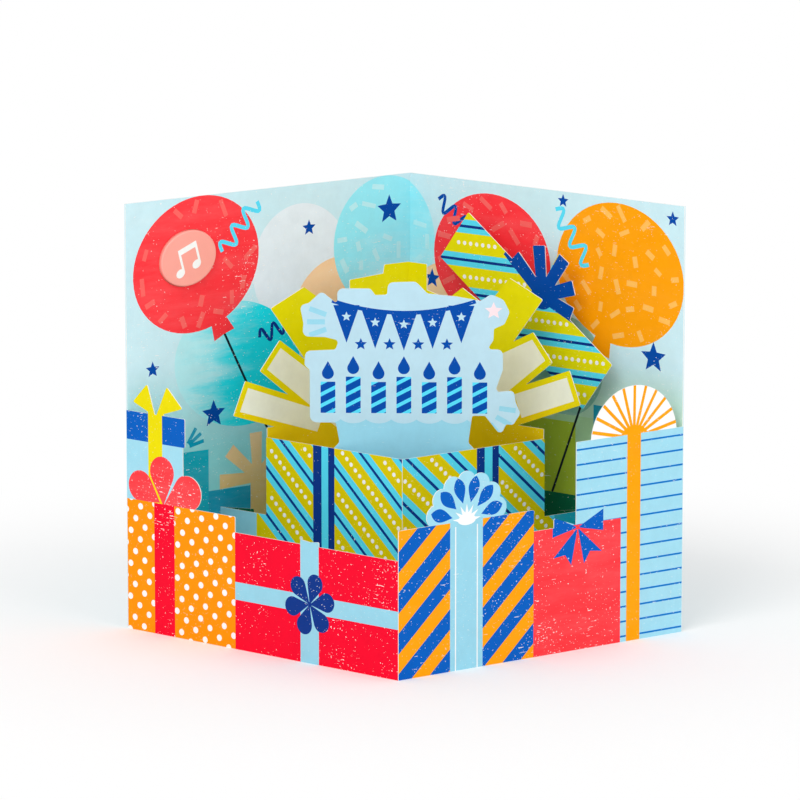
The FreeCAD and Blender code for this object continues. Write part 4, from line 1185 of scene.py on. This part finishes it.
def plaque_art():
    """Row of pennants over a row of candles, with fans of dashes at its sides."""
    art = Artwork("ice")
    art.paint("ribbon", rect(PLAQUE_STEM[0], 40, PLAQUE_STEM[1], CANDLE_FOOT))
    for x in in_row(CANDLES, CANDLE_PITCH):
        art.paint("ice", ellipse(x, CANDLE_FOOT, 6.6, 4.4, count=32))
    dashes(art, -24, 134, (160, 180, 200), 9.0, 16.5, 2.2, "ribbon")
    dashes(art, 30, 99, (-8, -30, -52), 10.0, 17.0, 2.2, "ribbon")
    width, height = PENNANT
    for x in in_row(PENNANTS, PENNANT_PITCH):
        top = rope_height(x)
        art.paint("navy", [(x - width / 2, top), (x, top - height), (x + width / 2, top)])
        art.paint("ice", star(x, top - 4.9, 2.1))
    art.paint("navy", strip([(x, rope_height(x)) for x in in_row(21, ROPE[0] / 10)], 1.7))
    for x in in_row(PENNANTS - 1, PENNANT_PITCH):
        art.paint("navy", star(x, 124.6, 2.7))
    art.paint("blush", star(37.5, 139.0, 3.8))
    for i, x in enumerate(in_row(CANDLES, CANDLE_PITCH)):
        top = CANDLE_TOPS[i % 2]
        stick = art.paint("navy", rect(x - CANDLE_HALF, CANDLE_FOOT, x + CANDLE_HALF, top))
        for step in range(-1, 5):
            low = CANDLE_FOOT + 1.6 + 4.8 * step
            art.paint("aqua", [(x - 4, low), (x + 4, low + 4.2), (x + 4, low + 5.9),
                              (x - 4, low + 1.7)], stick)
        art.paint("navy", petal((x, top + 8.8), (x, top + 3.6), 2.5))
    return art


LID_LINE = 149.0             # height of one dark line, and the height between two
LID_PERIOD = 14.6
LID_DOT_PITCH = 3.25
LID_BOW = (80.4, 138.1)
LID_BOW_RAYS = [135.6, 95.0, 55.0, 17.0, -22.0]


def lid_bow():
    """Outlines of the bow's loops and knot on the lid."""
    return (bow_loops(*LID_BOW, LID_BOW_RAYS, (-3.0, 2.5), (26.0, 3.6))
            + [ellipse(LID_BOW[0], LID_BOW[1], 6.0, 6.0)])


def lid_art():
    """Level stripes of the wrap on the tilted lid, with a dark starburst bow."""
    art = Artwork("lime")
    for i in range(-4, 3):
        middle = LID_LINE + LID_PERIOD * i
        art.paint("aqua", rect(10, middle - 2.95, 130, middle + 2.95))
        art.paint("ink_blue", rect(10, middle - 0.6, 130, middle + 0.6))
    for outline in lid_bow():
        art.paint("navy", outline)
    return art


SIGN_TILT = 15.0             # degrees that the sign leans on the press button


def button_art():
    """Two joined notes as a plain sound sign."""
    x, z = button_centre()
    art = Artwork(None)
    c, s = math.cos(math.radians(SIGN_TILT)), math.sin(math.radians(SIGN_TILT))

    def turned(points):
        return [(x + px * c - pz * s, z + px * s + pz * c) for px, pz in points]

    for side in (-1, 1):
        art.paint("white", turned(ellipse(4.4 * side - 1.4, -4.2 + 0.6 * side, 2.3, 1.75, 20, 28)))
        art.paint("white", turned(rect(4.4 * side - 0.2, -4.0 + 0.6 * side, 4.4 * side + 0.9,
                                       4.6 + 0.6 * side)))
    art.paint("white", turned([(-4.6, 2.6), (5.3, 3.8), (5.3, 6.2), (-4.6, 5.0)]))
    return art


# Operators


class CARD_OT_boards(bpy.types.Operator):
    """Give the folded boards their white core and the outer cover its print"""

    bl_idname = "card.boards"
    bl_label = "Boards"

    def execute(self, context):
        dress(["inner_ring", "gift_band", "ray_burst", "greeting_plaque", "gift_lid", "lid_strut"],
              white_board("white_core", "F4F4F0"))
        dress(["cover"], cover_board())
        return {"FINISHED"}


CONFETTI_GAP = 8.0           # least distance between two dashes
CONFETTI_MARGIN = 4.2        # balloon's rim and board's edge that are free of dashes
STREAMER_CLEAR = (4.6, 4.6)  # half width and half height kept free round a streamer


class CARD_OT_back_print(bpy.types.Operator):
    """Print the back panels: balloons with confetti, streamers and stars"""

    bl_idname = "card.back_print"
    bl_label = "Back panels"

    def execute(self, context):
        film("back_panel_print",
             [("inner_ring", BACK_LEFT, back_left_art()),
              ("inner_ring", BACK_RIGHT, back_right_art())],
             printed("back_panel_ink", wear=0.7), "ring_print")
        x, z = button_centre()
        balloons = ((BACK_LEFT, RED_BALLOON, "red_dash", "red", [(x, z, 20.5, 18.5)]),
                    (BACK_RIGHT, CORAL_BALLOON, "red_dash", None, []),
                    (BACK_RIGHT, AMBER_BALLOON, "amber_dash", "amber", []),
                    (BACK_LEFT, FOLD_BALLOON_LEFT, "sky_dash", None, [(*FOLD_STAR, 10, 10)]),
                    (BACK_RIGHT, FOLD_BALLOON_RIGHT, "sky_dash", None, []))
        for number, (board, place, ink, streamer, holes) in enumerate(balloons):
            middle_x, middle_z, half_width, half_height, turn = place
            outline = [p for p in ellipse(middle_x, middle_z, half_width - CONFETTI_MARGIN,
                                          half_height - CONFETTI_MARGIN, turn)
                       if CONFETTI_MARGIN < p[0] < PANEL_WIDTH - CONFETTI_MARGIN]
            name = "confetti_" + str(number + 1)
            mesh = confetti(name, outline, board, CONFETTI_GAP, number,
                            printed(name + "_ink", ink, wear=0.5))
            if streamer is not None:
                holes = holes + [spot + STREAMER_CLEAR for spot in wave(*STREAMERS[streamer])]
            merged(name, [without_holes(mesh, board, holes)])
        return {"FINISHED"}


class CARD_OT_front_print(bpy.types.Operator):
    """Print the gifts along the front of the ring"""

    bl_idname = "card.front_print"
    bl_label = "Front gifts"

    def execute(self, context):
        film("front_gift_print",
             [("inner_ring", FRONT_LEFT, front_left_art()),
              ("inner_ring", FRONT_RIGHT, front_right_art())],
             printed("front_gift_ink", wear=1.0), "ring_print")
        return {"FINISHED"}


class CARD_OT_band_print(bpy.types.Operator):
    """Print the striped wrap on the gift band, with its rows of dots"""

    bl_idname = "card.band_print"
    bl_label = "Gift band"

    def execute(self, context):
        film("gift_band_print",
             [("gift_band", BAND_LEFT, band_art(LEFT_LINE, LEFT_RIBBON, LEFT_END, "ribbon")),
              ("gift_band", BAND_RIGHT, band_art(RIGHT_LINE, RIGHT_RIBBON, RIGHT_END, "teal")),
              ("gift_band", TAB_LEFT, Artwork("forest")),
              ("gift_band", TAB_RIGHT, Artwork("forest"))],
             printed("gift_band_ink", wear=0.6), "band_print")
        white = printed("dot_ink", "white", wear=0.2)
        meshes = []
        for board, line, ribbon, end in ((BAND_LEFT, LEFT_LINE, LEFT_RIBBON, LEFT_END),
                                         (BAND_RIGHT, RIGHT_LINE, RIGHT_RIBBON, RIGHT_END)):
            avoid = [rect(ribbon[0], -BLEED, ribbon[3], RIBBON_TOP), end]
            runs = dot_runs(wrap_lines(line), DOT_PITCH, "gift_band", board, avoid)
            meshes.append(dot_rows("dots", runs, board, DOT_PITCH, white))
        merged("gift_band_dots", meshes)
        return {"FINISHED"}


class CARD_OT_burst_print(bpy.types.Operator):
    """Print the lime rays behind the plaque"""

    bl_idname = "card.burst_print"
    bl_label = "Rays"

    def execute(self, context):
        film("ray_burst_print",
             [("ray_burst", BURST_LEFT, burst_art(LEFT_FIELDS, LEFT_INWARD, -1)),
              ("ray_burst", BURST_RIGHT, burst_art(RIGHT_FIELDS, RIGHT_INWARD, 1))],
             printed("ray_burst_ink", wear=0.4), "burst_print")
        return {"FINISHED"}


class CARD_OT_plaque_print(bpy.types.Operator):
    """Print the plaque with pennants and candles"""

    bl_idname = "card.plaque_print"
    bl_label = "Plaque"

    def execute(self, context):
        film("greeting_plaque_print", [("greeting_plaque", PLAQUE, plaque_art())],
             printed("greeting_plaque_ink", wear=0.3), "plaque_print")
        return {"FINISHED"}


class CARD_OT_lid_print(bpy.types.Operator):
    """Print the tilted lid and its bow, with level rows of dots"""

    bl_idname = "card.lid_print"
    bl_label = "Lid"

    def execute(self, context):
        film("gift_lid_print", [("gift_lid", LID, lid_art())],
             printed("gift_lid_ink", wear=0.6), "lid_print")
        middles = [LID_LINE + LID_PERIOD * (i + 0.5) for i in range(-4, 3)]
        lines = [((12, middle), (128, middle)) for middle in middles]
        runs = dot_runs(lines, LID_DOT_PITCH, "gift_lid", LID, lid_bow())
        mesh = dot_rows("lid_dots", runs, LID, LID_DOT_PITCH,
                        printed("lid_dot_ink", "white", wear=0.2))
        merged("gift_lid_dots", [mesh])
        return {"FINISHED"}


class CARD_OT_button(bpy.types.Operator):
    """Finish the press button and put its sign on it"""

    bl_idname = "card.button"
    bl_label = "Press button"

    def execute(self, context):
        dress(["push_button"], plastic("button_salmon", "FFA698", 0.36, coat=0.1))
        film("button_sign", [("push_button", BUTTON, button_art())],
             printed("button_ink", wear=0.0), "button_plastic", body="button")
        return {"FINISHED"}


class CARD_OT_module(bpy.types.Operator):
    """Finish the sound module between the boards"""

    bl_idname = "card.module"
    bl_label = "Sound module"

    def execute(self, context):
        dress(["switch_stem", "switch_body", "battery_holder"], plastic("switch_black", "1E1E21", 0.5))
        dress(["module_tray"], plastic("tray_white", "E2E2DE", 0.5))
        dress(["circuit_board"], circuit_laminate())
        dress(["sound_chip"], plastic("resin_drop", "0B0B0C", 0.2, coat=0.5))
        dress(["resistor", "capacitor"], plastic("ceramic_tan", "A68E6A", 0.45))
        dress(["speaker_basket"], metal("speaker_steel", "A9A9AC", 0.3))
        dress(["speaker_magnet"], metal("magnet_plate", "8C8C90", 0.25))
        dress(["speaker_diaphragm"], plastic("speaker_film", "D8D6C8", 0.25))
        dress(["speaker_gasket"], plastic("gasket_foam", "242424", 0.85, grain=0.08))
        dress(["button_cell_1", "button_cell_2", "button_cell_3"], metal("cell_steel", "C9C9C6", 0.22))
        dress(["contact_plus", "contact_minus", "contact_lower_link", "contact_upper_link"],
              metal("contact_brass", "D2B36A", 0.28))
        dress(["speaker_wire_1", "battery_wire_1"], plastic("wire_red", "B81414", 0.42))
        dress(["speaker_wire_2", "battery_wire_2"], plastic("wire_black", "151515", 0.42))
        return {"FINISHED"}


# Camera: the point it looks at and its distance in millimetres, then degrees
CAMERA_TARGET = Vector((-1.885, 0.0, 99.114))
CAMERA_DISTANCE = 2390.4
CAMERA_AZIMUTH = 1.628
CAMERA_ELEVATION = 10.917
SENSOR = 36.0
FOCAL_PIXELS = 5685.5
PICTURE_PIXELS = 800


# Lamps: side and place in metres
LAMPS_AIM = Vector((0.0, 0.0, 0.08))
KEY_LAMP = (1.5, Vector((-0.9, -1.7, 1.9)))
FILL_LAMP = (1.6, Vector((1.7, -1.3, 1.1)))
FLOOR_HALF = 3.0             # half the floor's side, in metres


def aimed(name, data, place, direction):
    """A lamp or a camera at a place in metres that looks along a direction."""
    thing = new_object(name, data)
    thing.location = place
    thing.rotation_euler = direction.to_track_quat("-Z", "Y").to_euler()
    return thing


def area_lamp(name, power, side, place):
    lamp = bpy.data.lights.new(name, "AREA")
    lamp.shape = "SQUARE"
    lamp.size = side
    lamp.energy = power
    aimed(name, lamp, place, LAMPS_AIM - place)


def seen_directly(nodes):
    """1 for the camera's own rays and for reflections, 0 for other rays."""
    path = nodes.add("ShaderNodeLightPath").outputs
    largest = nodes.add("ShaderNodeMath", {"operation": "MAXIMUM"},
                        {0: path["Is Camera Ray"], 1: path["Is Glossy Ray"]})
    return Wire(nodes, largest.outputs[0])


def even_world(strength):
    """Even light, seen as white by the camera and in reflections."""
    world = bpy.data.worlds.new("studio")
    bpy.context.scene.world = world
    world.use_nodes = True
    nodes = Nodes(world.node_tree)
    level = nodes.add("ShaderNodeMapRange", None, {
        "Value": seen_directly(nodes), "To Min": strength, "To Max": 1.0})
    background = world.node_tree.nodes["Background"].inputs
    nodes.feed(background["Color"], (1.0, 1.0, 1.0))
    nodes.feed(background["Strength"], level.outputs["Result"])


SHADOW_REACH = (0.14, 0.34)  # metres from the middle over which the floor turns plain white


def fade_to_white(shader):
    """Shows the floor as plain white to the camera and in reflections, away from the object."""
    place = shader.add("ShaderNodeTexCoord").outputs["Object"]
    reach = shader.add("ShaderNodeVectorMath", {"operation": "LENGTH"}, {0: place})
    far = Wire(shader, reach.outputs["Value"]).between(*SHADOW_REACH)
    white = shader.add("ShaderNodeEmission")
    blend = shader.add("ShaderNodeMixShader", None, {
        0: far * seen_directly(shader), 1: shader.surface.outputs[0], 2: white.outputs[0]})
    shader.feed(shader.tree.nodes["Material Output"].inputs[0], blend.outputs[0])


class CARD_OT_stage(bpy.types.Operator):
    """Add the floor, the lamps and the camera"""

    bl_idname = "card.stage"
    bl_label = "Stage"

    def execute(self, context):
        settings = context.scene.card_stage
        mesh = bpy.data.meshes.new("floor")
        corners = rect(-FLOOR_HALF, -FLOOR_HALF, FLOOR_HALF, FLOOR_HALF)
        mesh.from_pydata([(x, y, 0.0) for x, y in corners], [], [(0, 1, 2, 3)])
        shader = Shader("floor_paper")
        grain = shader.noise(0.3, 2.0)
        shader.finish(shader.brighter(tuple(settings.floor), 0.985 + 0.015 * grain), 0.9)
        fade_to_white(shader)
        mesh.materials.append(shader.material)
        new_object("floor", mesh)
        area_lamp("key_lamp", settings.key_power, *KEY_LAMP)
        area_lamp("fill_lamp", settings.fill_power, *FILL_LAMP)
        even_world(settings.sky_strength)
        azimuth, elevation = math.radians(CAMERA_AZIMUTH), math.radians(CAMERA_ELEVATION)
        away = Vector((math.sin(azimuth) * math.cos(elevation),
                       -math.cos(azimuth) * math.cos(elevation), math.sin(elevation)))
        camera = bpy.data.cameras.new("camera")
        camera.sensor_width = SENSOR
        camera.lens = SENSOR * FOCAL_PIXELS / PICTURE_PIXELS
        bpy.context.scene.camera = aimed(
            "camera", camera, (CAMERA_TARGET + away * CAMERA_DISTANCE) * MM, -away)
        bpy.context.scene.view_settings.view_transform = "Standard"
        return {"FINISHED"}


class CARD_PT_panel(bpy.types.Panel):
    """Sidebar panel with the card's settings and operators"""

    bl_idname = "CARD_PT_panel"
    bl_label = "Pop up card"
    bl_space_type = "VIEW_3D"
    bl_region_type = "UI"
    bl_category = "Card"

    def draw(self, context):
        layout = self.layout
        for group in (context.scene.card_inks, context.scene.card_sizes, context.scene.card_stage):
            box = layout.box()
            for name in group.__annotations__:
                box.prop(group, name)
        for operator in PIECES:
            layout.operator(operator.bl_idname)


SETTINGS = (("card_inks", CardInks), ("card_sizes", CardSizes), ("card_stage", CardStage))
PIECES = (CARD_OT_boards, CARD_OT_back_print, CARD_OT_front_print, CARD_OT_band_print,
          CARD_OT_burst_print, CARD_OT_plaque_print, CARD_OT_lid_print, CARD_OT_button,
          CARD_OT_module, CARD_OT_stage)


def register():
    for name, group in SETTINGS:
        bpy.utils.register_class(group)
        setattr(bpy.types.Scene, name, bpy.props.PointerProperty(type=group))
    for operator in PIECES:
        bpy.utils.register_class(operator)
    bpy.utils.register_class(CARD_PT_panel)


def unregister():
    bpy.utils.unregister_class(CARD_PT_panel)
    for operator in reversed(PIECES):
        bpy.utils.unregister_class(operator)
    for name, group in reversed(SETTINGS):
        delattr(bpy.types.Scene, name)
        bpy.utils.unregister_class(group)


def main():
    register()
    for operator in PIECES:
        getattr(bpy.ops.card, operator.bl_idname.split(".")[1])()


if __name__ == "__main__":
    main()
